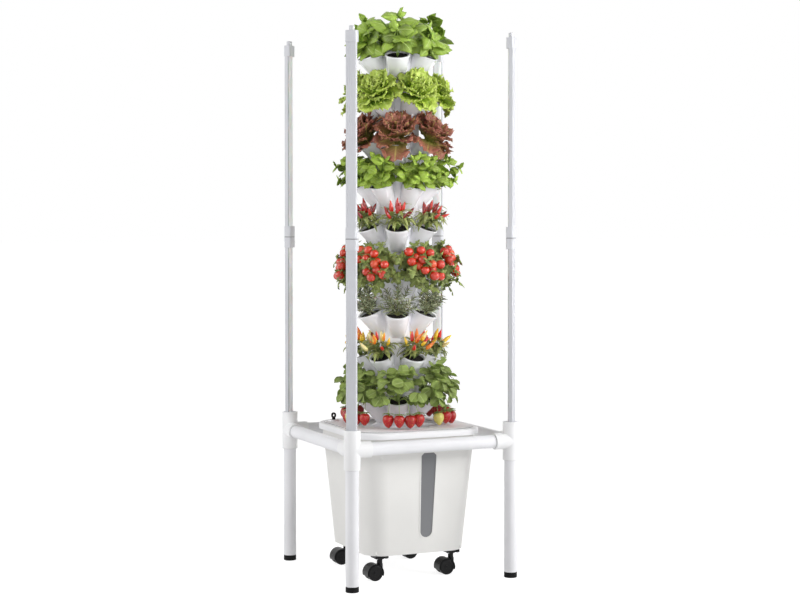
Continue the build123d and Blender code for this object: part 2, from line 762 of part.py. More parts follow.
def pepper_bush(stems, leaf_length, leaf_width):
    yield crown()
    pod = chilli()
    for number, (turn, rise, length) in enumerate(stems):
        tip = point(root, turn, rise, length)
        yield stalk(root, tip)
        yield set_leaf(pod, point(root, turn, rise, length - stalk_radius), turn, rise + 12)
        for side in (-70, 70):
            node = point(root, turn, rise, (0.52 + 0.06 * (number % 3)) * length)
            leaf = pointed_leaf(leaf_length, leaf_width)
            yield set_leaf(leaf, node, turn + side, 4 - 8 * (number % 2))


def red_chilli():
    return pepper_bush((
        (0, 74, 72), (-38, 60, 64), (38, 60, 64), (0, 46, 70), (-66, 52, 50), (66, 52, 50), (-24, 28, 62),
        (26, 32, 64), (180, 84, 44)), 46, 15)


def mixed_chilli():
    return pepper_bush((
        (0, 72, 68), (-46, 62, 62), (46, 62, 62), (0, 42, 66), (-70, 50, 48), (70, 50, 48), (-30, 26, 58),
        (30, 26, 58), (180, 84, 46)), 40, 17)


def tomato():
    """Arching leafy stems, with trusses of round fruit that hang over the rim."""
    yield crown()
    for turn, rise, length in ((-50, 40, 78), (50, 40, 78), (-24, 58, 94), (24, 58, 94), (0, 30, 104)):
        yield from leafy_stem(root, turn, rise, length, 3, 44, 24, 90)
    fruit_radius = 14.0
    fruit = Rot(35, 20, 0) * Sphere(fruit_radius)  # turned, so that no stalk meets its seam
    trusses = (
        ((46, -32, 72), (64, -34, 4), 4),
        ((60, 3, 80), (92, 5, -26), 6),
        ((64, 38, 36), (80, 38, -22), 4),
    )
    for hook, end, count in trusses:
        yield stalk(root, hook)
        yield stalk(hook, end)
        drop = Vector(*end) - Vector(*hook)
        for number in range(count):
            aside = fruit_radius - 0.75 * stalk_radius
            node = Vector(*hook) + drop * ((number + 0.5) / count)
            yield Pos(*node) * Pos(0, aside if number % 2 else -aside, 0) * fruit


def rosemary():
    """Bristly upright sprigs: each a slim spindle round its stem."""
    yield crown()
    sprigs = ((0, 80, 96), (-40, 66, 84), (40, 66, 84), (0, 56, 92), (-70, 62, 66), (70, 62, 66),
              (-22, 44, 76), (24, 40, 74), (180, 82, 60))
    for turn, rise, length in sprigs:
        yield stalk(root, point(root, turn, rise, length))
        spindle = make_face(Polyline((0.36 * length, 0), (0.42 * length, 6), (0.85 * length, 7),
                                     (length, 1.2), (length, 0), close=True))
        yield set_leaf(revolve(spindle, Axis.X), root, turn, rise)


def strawberry():
    """Three-part leaves on arching stalks, and fruit hung over the rim."""
    yield crown()
    leaflet = lobed_leaf(44, 38, 7, 0.12)
    for turn, rise, length, lean in (
            (0, 68, 88, 20), (-40, 56, 80, 24), (40, 56, 80, 24), (-20, 34, 84, 8), (22, 30, 86, 6),
            (-66, 46, 56, 16), (66, 46, 56, 16), (0, 12, 72, -8)):
        tip = point(root, turn, rise, length)
        yield stalk(root, tip)
        for side in (-75, 0, 75):
            yield set_leaf(leaflet, point(root, turn, rise, length - stalk_radius), turn + side, lean)
    profile = [Spline((0, 0), (3, 13), (14, 17), (30, 11), (42, 0)), Line((42, 0), (0, 0))]
    berry = revolve(make_face(profile), Axis.X)
    for out, aside, low in ((64, -30, -44), (74, 6, -46), (72, 40, -44), (56, 68, -42)):
        hook = (0.85 * out, 0.85 * aside, 4)
        yield stalk(root, hook)
        yield stalk(hook, (out, aside, low))
        yield set_leaf(berry, (out, aside, low + stalk_radius), 0, -84)


def growing_room(half_angle, low, high):
    """The space round a pot that its plant may fill: a wedge of the tower's round, between two heights."""
    reach = 3 * mouth_circle
    edge = reach * tan(radians(half_angle))
    wedge = make_face(Polyline((0, 0), (reach, -edge), (reach, edge), close=True))
    return Pos(0, 0, mouth_height + low) * extrude(wedge, high - low)


def keep_clear(tiers_above):
    """The tower round one pot, a little grown, which no leaf may enter."""
    top = (1 + tiers_above) * tier_pitch + top_cap_height + plant_gap
    room = Pos(0, 0, -tier_pitch) * Cylinder(barrel_radius + plant_gap, tier_pitch + top, align=MIN)
    pot = pot_block(-plant_gap, -lip_height / 2) + lip_disc(plant_gap)
    half_step = 180 / pots_per_tier
    for side in (-1, 1):
        for level in (-1, 1)[:1 + tiers_above]:
            room += Rot(0, 0, side * half_step) * Pos(0, 0, level * tier_pitch) * pot
    open_radius = mouth_radius - pot_wall - medium_drop / 2
    pot -= mouth_plane * Pos(0, 0, -2 * medium_drop) * Cylinder(open_radius, mouth_radius, align=MIN)
    return room + pot


def plant_pieces(plug):
    clear = {tiers_above: keep_clear(tiers_above) for tiers_above in (0, 1)}
    wide = 180 / pots_per_tier - 0.3
    narrow = wide / 2
    at_mouth = Pos(mouth_circle, 0, mouth_height)
    crowd = (wide, -38.0, 101.0)
    beds = (
        ("basil", [basil(128.0), basil(88.0)], [(wide, -38.0, 200.0)]),
        ("green_lettuce", [green_lettuce()], [crowd]),
        ("red_lettuce", [red_lettuce()], [crowd]),
        ("mint", [mint()], [crowd]),
        ("red_chilli", [red_chilli()], [crowd]),
        ("cherry_tomato", [tomato()], [crowd, (narrow, -120.0, 0.0)]),
        ("rosemary", [rosemary()], [(narrow, -20.0, 101.0)]),
        ("mixed_chilli", [mixed_chilli()], [crowd]),
        ("strawberry", [strawberry()], [(wide, -88.0, 101.0)]),
    )
    for tier, (name, kinds, spaces) in enumerate(beds, start=1):
        room = growing_room(*spaces[0])
        for space in spaces[1:]:
            room += growing_room(*space)
        room = room - clear[min(tier - 1, 1)] - plug
        grown = []
        for kind in kinds:
            parts = [at_mouth * part for part in kind]
            plant = (parts[0] + parts[1:]) & room
            grown.append(max(plant.solids(), key=lambda solid: solid.volume))
        pots = PolarLocations(0, pots_per_tier)
        copies = [turn * grown[number % len(grown)] for number, turn in enumerate(pots)]
        save(f"{name}_plants", *[tier_place(tier) * copy for copy in copies])


os.makedirs("parts", exist_ok=True)
frame_pieces()
light_pieces()
tank_pieces()
lid_pieces()
pump_pieces()
caster_pieces()
plant_pieces(tower_pieces())
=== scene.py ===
"""Planting, finishes and stage of a hydroponic tower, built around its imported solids."""

import math
import random
from collections import namedtuple

import bmesh
import bpy
from bpy.props import FloatProperty, FloatVectorProperty, PointerProperty
from bpy.types import Operator, Panel, PropertyGroup
from mathutils import Matrix, Vector, noise


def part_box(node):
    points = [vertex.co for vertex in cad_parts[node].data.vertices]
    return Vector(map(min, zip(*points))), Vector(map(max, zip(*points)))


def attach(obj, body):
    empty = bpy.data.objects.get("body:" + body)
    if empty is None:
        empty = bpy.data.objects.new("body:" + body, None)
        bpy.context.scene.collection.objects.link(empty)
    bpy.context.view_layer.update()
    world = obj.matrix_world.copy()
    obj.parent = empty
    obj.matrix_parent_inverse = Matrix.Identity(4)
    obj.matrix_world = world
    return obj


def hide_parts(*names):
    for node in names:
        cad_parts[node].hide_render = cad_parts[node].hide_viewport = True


bl_info = {
    "name": "Hydroponic tower",
    "version": (1, 0, 0),
    "blender": (4, 5, 0),
    "location": "View3D > Sidebar > Tower",
    "description": "Planting, finishes and stage of a hydroponic tower with a light frame",
    "category": "Add Mesh",
}

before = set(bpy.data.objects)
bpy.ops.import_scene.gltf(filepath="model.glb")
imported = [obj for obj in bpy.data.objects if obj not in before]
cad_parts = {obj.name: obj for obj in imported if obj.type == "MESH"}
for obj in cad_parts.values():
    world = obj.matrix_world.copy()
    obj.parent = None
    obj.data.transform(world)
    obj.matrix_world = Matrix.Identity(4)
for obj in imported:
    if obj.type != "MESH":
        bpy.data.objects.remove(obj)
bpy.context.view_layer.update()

MM = 0.001
TAU = 2 * math.pi
CORNERS = ("front_left", "front_right", "rear_right", "rear_left")
LEG_AXIS = 0.276  # metres from the middle of the frame to a leg, along X and along Y
TIERS = range(1, 10)
POTS = range(6)
SPIGOT = 9.0  # mm that each tier reaches into the one below
TIER_FEET = {tier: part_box(f"tier_{tier}")[0].z / MM + SPIGOT for tier in TIERS}
STACK_TOP = TIER_FEET[1] + 146.5  # mm, just over the cap of the tower


def linear(hex_colour):
    """An sRGB hex colour as linear RGBA."""
    shares = [int(hex_colour[start:start + 2], 16) / 255 for start in (1, 3, 5)]
    return (*[c / 12.92 if c <= 0.04045 else ((c + 0.055) / 1.055) ** 2.4 for c in shares], 1.0)


def colour(name, hex_colour, description):
    """A colour that a user can change."""
    return FloatVectorProperty(name=name, description=description, default=linear(hex_colour), size=4,
                               subtype="COLOR", min=0.0, max=1.0)


def power(name, description, watts):
    """A lamp's power that a user can change."""
    return FloatProperty(name=name, description=description, default=watts, unit="POWER")


class TowerSizes(PropertyGroup):
    """Sizes of the planter stack that the plants are set by"""
    mouth_circle: FloatProperty(name="Mouth circle", description="Radius on which the pots' mouths lie",
                                default=0.105, unit="LENGTH")
    mouth_height: FloatProperty(name="Mouth height", description="Middle of a mouth above its tier's foot",
                                default=0.085, unit="LENGTH")
    mouth_tilt: FloatProperty(name="Mouth tilt", description="Outward lean of a pot's mouth",
                              default=math.radians(23.0), subtype="ANGLE")
    barrel_radius: FloatProperty(name="Barrel radius", description="Outer radius of the stack's barrel",
                                 default=0.070, unit="LENGTH")
    first_pot: FloatProperty(name="First pot", description="Turn of the odd tiers' first pot from +X",
                             default=math.radians(6.0), subtype="ANGLE")
    leaf_thickness: FloatProperty(name="Leaf thickness", description="Thickness of a leaf's blade",
                                  default=0.0005, unit="LENGTH")


class TowerFinishes(PropertyGroup):
    """Colours of the rigid pieces"""
    pipe: colour("Pipe", "#F1F1F4", "Extruded white pipe of the frame")
    fitting: colour("Fitting", "#F7F7F8", "Moulded white tees")
    channel: colour("Light channel", "#D0D1D6", "Painted back of the light bars")
    lens: colour("Lens", "#F3F4F5", "Frosted front of the light bars")
    tank: colour("Tank", "#ECEBE8", "Moulded tub")
    lid: colour("Lid", "#F6F6F8", "Moulded lid and filler plug")
    window: colour("Window", "#77787B", "Smoked level window")
    planter: colour("Planter", "#F8F8FD", "Moulded tiers of the tower")
    black: colour("Black", "#0E0E0F", "Casters, feet, pull loop and pump")


class TowerPlanting(PropertyGroup):
    """Colours of the plants"""
    basil: colour("Basil", "#A0BE4C", "Lit basil leaf")
    green_lettuce: colour("Green lettuce", "#B4CC44", "Frilled edge of the green lettuce")
    red_lettuce: colour("Red lettuce", "#A06054", "Frilled edge of the red lettuce")
    mint: colour("Mint", "#9CB844", "Lit mint leaf")
    pepper_leaf: colour("Pepper leaf", "#A9B268", "Lit leaf of the chilli bushes")
    tomato_leaf: colour("Tomato leaf", "#909E58", "Lit leaf of the tomato")
    tomato: colour("Tomato", "#D03014", "Ripe cherry tomato")
    rosemary: colour("Rosemary", "#A2AC7C", "Rosemary needle")
    strawberry_leaf: colour("Strawberry leaf", "#90A454", "Lit strawberry leaf")
    strawberry: colour("Strawberry", "#AA1418", "Ripe strawberry")
    medium: colour("Growing medium", "#1D1916", "Damp growing medium")


class TowerStage(PropertyGroup):
    """Camera and light of the stage"""
    camera_height: FloatProperty(name="Camera height", description="Camera above the floor",
                                 default=1.175, unit="LENGTH")
    camera_lens: FloatProperty(name="Lens", description="Focal length in millimetres", default=78.26)
    key_power: power("Key light", "Soft light at the right", 108.0)
    fill_power: power("Fill light", "Soft light at the left", 54.0)
    top_power: power("Top light", "Narrow light on the plants", 2.4)
    low_power: power("Low light", "Narrow light under the leaves", 0.9)
    sky_strength: FloatProperty(name="Sky", description="Even light from all round", default=0.42)


# Nodes and finishes


# Sockets of a colour Mix node, whose names are shared by its other kinds of data
FACTOR, COLOUR_A, COLOUR_B, MIXED = 0, 6, 7, 2

# Between these lie nearly all values of a Noise node
NOISE_SPAN = {"From Min": 0.3, "From Max": 0.7}

PLASTIC_IOR = 1.49
LEAF_IOR = 1.42


def add_node(tree, kind, settings=None, inputs=None, stops=None):
    """A node with its settings, its input values or links, and a ramp's stops."""
    node = tree.nodes.new(kind)
    for key, value in (settings or {}).items():
        setattr(node, key, value)
    for key, value in (inputs or {}).items():
        if isinstance(value, bpy.types.NodeSocket):
            tree.links.new(value, node.inputs[key])
        else:
            node.inputs[key].default_value = value
    if stops:
        elements = node.color_ramp.elements
        while len(elements) < len(stops):
            elements.new(1.0)
        for element, (position, shade) in zip(elements, stops):
            element.position = position
            element.color = shade
    return node


def start_material(name):
    """A material with an empty node tree."""
    made = bpy.data.materials.new(name)
    made.use_nodes = True
    made.node_tree.nodes.clear()
    return made, made.node_tree


def end_material(tree, inputs):
    """The material's one shader, with its constants and links, and the output."""
    shader = add_node(tree, "ShaderNodeBsdfPrincipled", inputs=inputs)
    add_node(tree, "ShaderNodeOutputMaterial", inputs={"Surface": shader.outputs["BSDF"]})


def shaded(base, factor):
    """A colour made darker or lighter."""
    return (*[min(1.0, share * factor) for share in base[:3]], 1.0)


def mixed(first, second, share):
    """A colour between two others."""
    return (*[a + (b - a) * share for a, b in zip(first[:3], second[:3])], 1.0)


def moulded_plastic(name, base, roughness, peel_mm, peel_depth_mm, stretch=(1.0, 1.0, 1.0), drift=0.05,
                    mirror=0.5):
    """Injection-moulded or extruded plastic."""
    # The eye sees one even colour with a faint broad drift, a skin of low orange peel, and
    # handling marks that break the gloss a little. A stretch below 1 draws marks and peel out.
    drift_mm, mark_mm = 160.0, 26.0
    made, tree = start_material(name)
    place = add_node(tree, "ShaderNodeTexCoord").outputs["Object"]
    drawn = add_node(tree, "ShaderNodeMapping", inputs={"Vector": place, "Scale": stretch})
    tone = add_node(tree, "ShaderNodeTexNoise", inputs={
        "Vector": place, "Scale": 1 / (drift_mm * MM), "Detail": 3.0})
    shade = add_node(tree, "ShaderNodeValToRGB", inputs={"Fac": tone.outputs["Fac"]},
                     stops=[(0.3, shaded(base, 1 - drift)), (0.7, shaded(base, 1 + drift / 2))])
    marks = add_node(tree, "ShaderNodeTexNoise", inputs={
        "Vector": drawn.outputs["Vector"], "Scale": 1 / (mark_mm * MM), "Detail": 5.0})
    gloss = add_node(tree, "ShaderNodeMapRange", inputs={
        **NOISE_SPAN, "Value": marks.outputs["Fac"], "To Min": 0.85 * roughness, "To Max": 1.2 * roughness})
    peel = add_node(tree, "ShaderNodeTexNoise", inputs={
        "Vector": drawn.outputs["Vector"], "Scale": 1 / (peel_mm * MM), "Detail": 1.0})
    skin = add_node(tree, "ShaderNodeBump", inputs={
        "Strength": 0.35, "Distance": peel_depth_mm * MM, "Height": peel.outputs["Fac"]})
    end_material(tree, {
        "Base Color": shade.outputs["Color"], "Roughness": gloss.outputs["Result"],
        "Normal": skin.outputs["Normal"], "IOR": PLASTIC_IOR, "Specular IOR Level": mirror})
    return made


def paint_shade_line(made, way, place, reach, dark):
    """Paint shade on a finish along a plane across it, where two pieces meet or a step falls."""
    # The eye sees a soft grey line of painted shade, which stands in for the shadow in the joint or the step.
    # way holds the shares of |x|, |y| and |z| that add up to place.
    tree = made.node_tree
    shader = next(node for node in tree.nodes if node.type == "BSDF_PRINCIPLED")
    plain = shader.inputs["Base Color"].links[0].from_socket
    spot = add_node(tree, "ShaderNodeTexCoord").outputs["Object"]
    folded = add_node(tree, "ShaderNodeVectorMath", {"operation": "ABSOLUTE"}, {0: spot})
    along_way = add_node(tree, "ShaderNodeVectorMath", {"operation": "DOT_PRODUCT"},
                         {0: folded.outputs["Vector"], 1: way})
    off = add_node(tree, "ShaderNodeMath", {"operation": "SUBTRACT"},
                   {0: along_way.outputs["Value"], 1: place})
    away = add_node(tree, "ShaderNodeMath", {"operation": "ABSOLUTE"}, {0: off.outputs["Value"]})
    share = add_node(tree, "ShaderNodeMapRange", inputs={
        "Value": away.outputs["Value"], "From Min": reach, "From Max": 0.3 * reach, "To Max": dark})
    # The painted shade: a grey mixed in near the plane
    final = add_node(tree, "ShaderNodeMix", {"data_type": "RGBA"}, {
        FACTOR: share.outputs["Result"], COLOUR_A: plain, COLOUR_B: linear("#6A6A6E")})
    tree.links.new(final.outputs[MIXED], shader.inputs["Base Color"])


def frosted_lens(name, base):
    """Extruded frosted acrylic over a strip of lights."""
    # The eye sees a milky white with soft highlights, a fine frost and faint draw lines along it.
    line_mm, line_stretch, frost_mm = 3.0, (1.0, 1.0, 0.004), 1.2
    made, tree = start_material(name)
    place = add_node(tree, "ShaderNodeTexCoord").outputs["Object"]
    drawn = add_node(tree, "ShaderNodeMapping", inputs={"Vector": place, "Scale": line_stretch})
    lines = add_node(tree, "ShaderNodeTexNoise", inputs={
        "Vector": drawn.outputs["Vector"], "Scale": 1 / (line_mm * MM), "Detail": 2.0})
    frost = add_node(tree, "ShaderNodeTexNoise", inputs={
        "Vector": place, "Scale": 1 / (frost_mm * MM), "Detail": 2.0})
    shade = add_node(tree, "ShaderNodeValToRGB", inputs={"Fac": lines.outputs["Fac"]},
                     stops=[(0.3, shaded(base, 0.95)), (0.7, base)])
    gloss = add_node(tree, "ShaderNodeMapRange", inputs={
        **NOISE_SPAN, "Value": frost.outputs["Fac"], "To Min": 0.32, "To Max": 0.5})
    skin = add_node(tree, "ShaderNodeBump", inputs={
        "Strength": 0.2, "Distance": 0.05 * MM, "Height": frost.outputs["Fac"]})
    end_material(tree, {
        "Base Color": shade.outputs["Color"], "Roughness": gloss.outputs["Result"],
        "Normal": skin.outputs["Normal"], "IOR": PLASTIC_IOR, "Subsurface Weight": 0.15,
        "Subsurface Scale": 0.002, "Coat Weight": 0.1})
    return made


def smoked_window(name, base):
    """Smoked clear plastic with the tank's dark inside behind it."""
    # The eye sees an even grey, a little deeper towards the top, and a clear gloss.
    haze_mm, haze_share = 90.0, 0.08
    made, tree = start_material(name)
    place = add_node(tree, "ShaderNodeTexCoord").outputs["Object"]
    low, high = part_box("level_window")
    height = add_node(tree, "ShaderNodeSeparateXYZ", inputs={"Vector": place}).outputs["Z"]
    share = add_node(tree, "ShaderNodeMapRange", inputs={
        "Value": height, "From Min": low.z, "From Max": high.z})
    haze = add_node(tree, "ShaderNodeTexNoise", inputs={
        "Vector": place, "Scale": 1 / (haze_mm * MM), "Detail": 2.0})
    depth = add_node(tree, "ShaderNodeMath", {"operation": "MULTIPLY_ADD"},
                     {0: haze.outputs["Fac"], 1: haze_share, 2: share.outputs["Result"]})
    shade = add_node(tree, "ShaderNodeValToRGB", inputs={"Fac": depth.outputs["Value"]},
                     stops=[(0.0, shaded(base, 1.12)), (0.45, base), (1.0, shaded(base, 0.86))])
    gloss = add_node(tree, "ShaderNodeMapRange", inputs={
        **NOISE_SPAN, "Value": haze.outputs["Fac"], "To Min": 0.3, "To Max": 0.36})
    end_material(tree, {
        "Base Color": shade.outputs["Color"], "Roughness": gloss.outputs["Result"], "IOR": PLASTIC_IOR,
        "Coat Weight": 0.15, "Coat Roughness": 0.2})
    return made


def zinc_steel(name):
    """Zinc-plated steel screw."""
    # The eye sees a cool grey metal with a mottled sheen.
    spangle_mm = 1.5
    made, tree = start_material(name)
    place = add_node(tree, "ShaderNodeTexCoord").outputs["Object"]
    spangle = add_node(tree, "ShaderNodeTexNoise", inputs={
        "Vector": place, "Scale": 1 / (spangle_mm * MM), "Detail": 3.0})
    shade = add_node(tree, "ShaderNodeValToRGB", inputs={"Fac": spangle.outputs["Fac"]},
                     stops=[(0.3, linear("#A9ABAD")), (0.7, linear("#CDCFD1"))])
    gloss = add_node(tree, "ShaderNodeMapRange", inputs={
        **NOISE_SPAN, "Value": spangle.outputs["Fac"], "To Min": 0.3, "To Max": 0.5})
    end_material(tree, {
        "Base Color": shade.outputs["Color"], "Roughness": gloss.outputs["Result"], "Metallic": 1.0})
    return made


def led_board(name):
    """White circuit board with a row of yellow light emitters."""
    # The eye sees white solder mask with a small yellow square every 15 mm along it.
    half_pitch = 7.5 * MM
    mask, emitter = linear("#EDEDE8"), linear("#E8C34A")
    made, tree = start_material(name)
    place = add_node(tree, "ShaderNodeTexCoord").outputs["Object"]
    height = add_node(tree, "ShaderNodeSeparateXYZ", inputs={"Vector": place}).outputs["Z"]
    step = add_node(tree, "ShaderNodeMath", {"operation": "PINGPONG"}, {0: height, 1: half_pitch})
    share = add_node(tree, "ShaderNodeMapRange", inputs={
        "Value": step.outputs["Value"], "From Min": 0.0, "From Max": half_pitch})
    chip = add_node(tree, "ShaderNodeValToRGB", inputs={"Fac": share.outputs["Result"]},
                    stops=[(0.0, emitter), (0.22, emitter), (0.26, mask)])
    end_material(tree, {"Base Color": chip.outputs["Color"], "Roughness": 0.4})
    return made


def leaf_blade(name, base, deep, vein, rim, veins, roughness, foot=None, bulge=0.4):
    """A living leaf, drawn along its own length and width."""
    # The eye sees greens that differ from leaf to leaf, darkest where the deep colour paints shade on random
    # leaves and blotches, a pale midrib and side veins, a blade that swells between the veins, and a satin
    # gloss.
    blotch_mm, swell_mm = 14.0, 1.2
    made, tree = start_material(name)
    coordinates = add_node(tree, "ShaderNodeTexCoord")
    tint = add_node(tree, "ShaderNodeAttribute", {"attribute_name": "tint"}).outputs["Fac"]
    uv = add_node(tree, "ShaderNodeSeparateXYZ", inputs={"Vector": coordinates.outputs["UV"]})
    length = uv.outputs["X"]
    side = add_node(tree, "ShaderNodeMath", {"operation": "SUBTRACT"}, {0: uv.outputs["Y"], 1: 0.5})
    across = add_node(tree, "ShaderNodeMath", {"operation": "ABSOLUTE"}, {0: side.outputs["Value"]})

    # The body: darker and lighter leaves and blotches, whose darkest tone is painted shade, and another
    # colour at the rim and the foot
    blotch = add_node(tree, "ShaderNodeTexNoise", inputs={
        "Vector": coordinates.outputs["Object"], "Scale": 1 / (blotch_mm * MM), "Detail": 3.0})
    depth = add_node(tree, "ShaderNodeMath", {"operation": "MULTIPLY_ADD"},
                     {0: blotch.outputs["Fac"], 1: 0.5, 2: -0.25})
    age = add_node(tree, "ShaderNodeMath", {"operation": "ADD", "use_clamp": True},
                   {0: tint, 1: depth.outputs["Value"]})
    # deep is a dark copy of the lit leaf colour: painted shade
    body = add_node(tree, "ShaderNodeValToRGB", inputs={"Fac": age.outputs["Value"]},
                    stops=[(0.0, deep), (0.4, mixed(deep, base, 0.7)), (0.85, base), (1.0, foot or base)])
    edge = add_node(tree, "ShaderNodeMath", {"operation": "MAXIMUM"}, {0: length, 1: across.outputs["Value"]})
    rim_share = add_node(tree, "ShaderNodeMapRange", inputs={
        "Value": edge.outputs["Value"], "From Min": 0.5, "From Max": 1.0})
    blade = add_node(tree, "ShaderNodeMix", {"data_type": "RGBA"}, {
        FACTOR: rim_share.outputs["Result"], COLOUR_A: body.outputs["Color"], COLOUR_B: rim})
    if foot:
        foot_share = add_node(tree, "ShaderNodeMapRange", inputs={
            "Value": length, "From Min": 0.55, "From Max": 0.05})
        blade = add_node(tree, "ShaderNodeMix", {"data_type": "RGBA"}, {
            FACTOR: foot_share.outputs["Result"], COLOUR_A: blade.outputs[MIXED], COLOUR_B: foot})

    # The veins: side veins that slant forward from the midrib
    slant = add_node(tree, "ShaderNodeMath", {"operation": "MULTIPLY_ADD"},
                     {0: across.outputs["Value"], 1: -0.9, 2: length})
    count = add_node(tree, "ShaderNodeMath", {"operation": "MULTIPLY"},
                     {0: slant.outputs["Value"], 1: float(veins)})
    swell = add_node(tree, "ShaderNodeMath", {"operation": "PINGPONG"}, {0: count.outputs["Value"], 1: 0.5})
    side_vein = add_node(tree, "ShaderNodeMapRange", inputs={
        "Value": swell.outputs["Value"], "From Min": 0.1, "From Max": 0.0})
    midrib = add_node(tree, "ShaderNodeMapRange", inputs={
        "Value": across.outputs["Value"], "From Min": 0.045, "From Max": 0.015})
    veined = add_node(tree, "ShaderNodeMath", {"operation": "MULTIPLY_ADD"},
                      {0: side_vein.outputs["Result"], 1: 0.45, 2: midrib.outputs["Result"]})
    share = add_node(tree, "ShaderNodeMath", {"operation": "MULTIPLY", "use_clamp": True},
                     {0: veined.outputs["Value"], 1: 0.6})
    final = add_node(tree, "ShaderNodeMix", {"data_type": "RGBA"}, {
        FACTOR: share.outputs["Value"], COLOUR_A: blade.outputs[MIXED], COLOUR_B: vein})

    relief = add_node(tree, "ShaderNodeMath", {"operation": "SUBTRACT"},
                      {0: swell.outputs["Value"], 1: midrib.outputs["Result"]})
    skin = add_node(tree, "ShaderNodeBump", inputs={
        "Strength": bulge, "Distance": swell_mm * MM, "Height": relief.outputs["Value"]})
    gloss = add_node(tree, "ShaderNodeMapRange", inputs={
        **NOISE_SPAN, "Value": blotch.outputs["Fac"], "To Min": 0.85 * roughness, "To Max": 1.2 * roughness})
    end_material(tree, {
        "Base Color": final.outputs[MIXED], "Roughness": gloss.outputs["Result"],
        "Normal": skin.outputs["Normal"], "IOR": LEAF_IOR, "Specular IOR Level": 0.42,
        "Subsurface Weight": 0.06, "Subsurface Scale": 0.002, "Subsurface Radius": (0.5, 1.0, 0.2)})
    return made


def green_stem(name, base, deep):
    """A juicy plant stem."""
    # The eye sees a pale green with fine long streaks and a soft gloss.
    streak_mm, streak_stretch = 5.0, (1.0, 1.0, 0.2)
    made, tree = start_material(name)
    place = add_node(tree, "ShaderNodeTexCoord").outputs["Object"]
    drawn = add_node(tree, "ShaderNodeMapping", inputs={"Vector": place, "Scale": streak_stretch})
    streak = add_node(tree, "ShaderNodeTexNoise", inputs={
        "Vector": drawn.outputs["Vector"], "Scale": 1 / (streak_mm * MM), "Detail": 3.0})
    shade = add_node(tree, "ShaderNodeValToRGB", inputs={"Fac": streak.outputs["Fac"]},
                     stops=[(0.3, deep), (0.7, base)])
    end_material(tree, {"Base Color": shade.outputs["Color"], "Roughness": 0.5, "IOR": LEAF_IOR})
    return made


def ripe_skin(name, stops, roughness, interpolation="LINEAR"):
    """The glossy skin of a fruit, whose colour follows how ripe each one is."""
    # The eye sees a full colour that drifts over each fruit, under a waxy clear gloss. On rosemary needles
    # the stops are painted shade and painted highlight instead.
    drift_mm, drift_share = 20.0, 0.16
    made, tree = start_material(name)
    place = add_node(tree, "ShaderNodeTexCoord").outputs["Object"]
    tint = add_node(tree, "ShaderNodeAttribute", {"attribute_name": "tint"}).outputs["Fac"]
    drift = add_node(tree, "ShaderNodeTexNoise", inputs={
        "Vector": place, "Scale": 1 / (drift_mm * MM), "Detail": 2.0})
    ripe = add_node(tree, "ShaderNodeMath", {"operation": "MULTIPLY_ADD"},
                    {0: drift.outputs["Fac"], 1: drift_share, 2: -drift_share / 2})
    age = add_node(tree, "ShaderNodeMath", {"operation": "ADD", "use_clamp": True},
                   {0: tint, 1: ripe.outputs["Value"]})
    shade = add_node(tree, "ShaderNodeValToRGB", inputs={"Fac": age.outputs["Value"]}, stops=stops)
    shade.color_ramp.interpolation = interpolation
    gloss = add_node(tree, "ShaderNodeMapRange", inputs={
        **NOISE_SPAN, "Value": drift.outputs["Fac"], "To Min": 0.8 * roughness, "To Max": 1.2 * roughness})
    end_material(tree, {
        "Base Color": shade.outputs["Color"], "Roughness": gloss.outputs["Result"], "IOR": 1.45,
        "Subsurface Weight": 0.1, "Subsurface Scale": 0.003, "Coat Weight": 0.6, "Coat Roughness": 0.06})
    return made


def seeded_skin(name, base):
    """The skin of a strawberry, with a pip in each small dimple."""
    # The eye sees deep red flesh, paler on unripe berries, with straw-coloured pips about 4 mm apart.
    pip_mm, dimple_mm = 4.6, 0.8
    made, tree = start_material(name)
    place = add_node(tree, "ShaderNodeTexCoord").outputs["Object"]
    tint = add_node(tree, "ShaderNodeAttribute", {"attribute_name": "tint"}).outputs["Fac"]
    pips = add_node(tree, "ShaderNodeTexVoronoi", inputs={
        "Vector": place, "Scale": 1 / (pip_mm * MM), "Randomness": 0.5})
    pip = add_node(tree, "ShaderNodeMapRange", inputs={
        "Value": pips.outputs["Distance"], "From Min": 0.24, "From Max": 0.16})
    dimple = add_node(tree, "ShaderNodeMapRange", inputs={
        "Value": pips.outputs["Distance"], "From Min": 0.1, "From Max": 0.45})
    flesh = add_node(tree, "ShaderNodeValToRGB", inputs={"Fac": tint}, stops=[
        (0.0, linear("#C9CF72")), (0.1, linear("#D8C060")), (0.2, shaded(base, 1.35)),
        (1.0, shaded(base, 0.8))])
    final = add_node(tree, "ShaderNodeMix", {"data_type": "RGBA"}, {
        FACTOR: pip.outputs["Result"], COLOUR_A: flesh.outputs["Color"], COLOUR_B: linear("#D9A446")})
    skin = add_node(tree, "ShaderNodeBump", inputs={
        "Strength": 0.5, "Distance": dimple_mm * MM, "Height": dimple.outputs["Result"]})
    end_material(tree, {
        "Base Color": final.outputs[MIXED], "Roughness": 0.34, "Normal": skin.outputs["Normal"],
        "IOR": LEAF_IOR, "Subsurface Weight": 0.12, "Subsurface Scale": 0.003, "Coat Weight": 0.3,
        "Coat Roughness": 0.15})
    return made


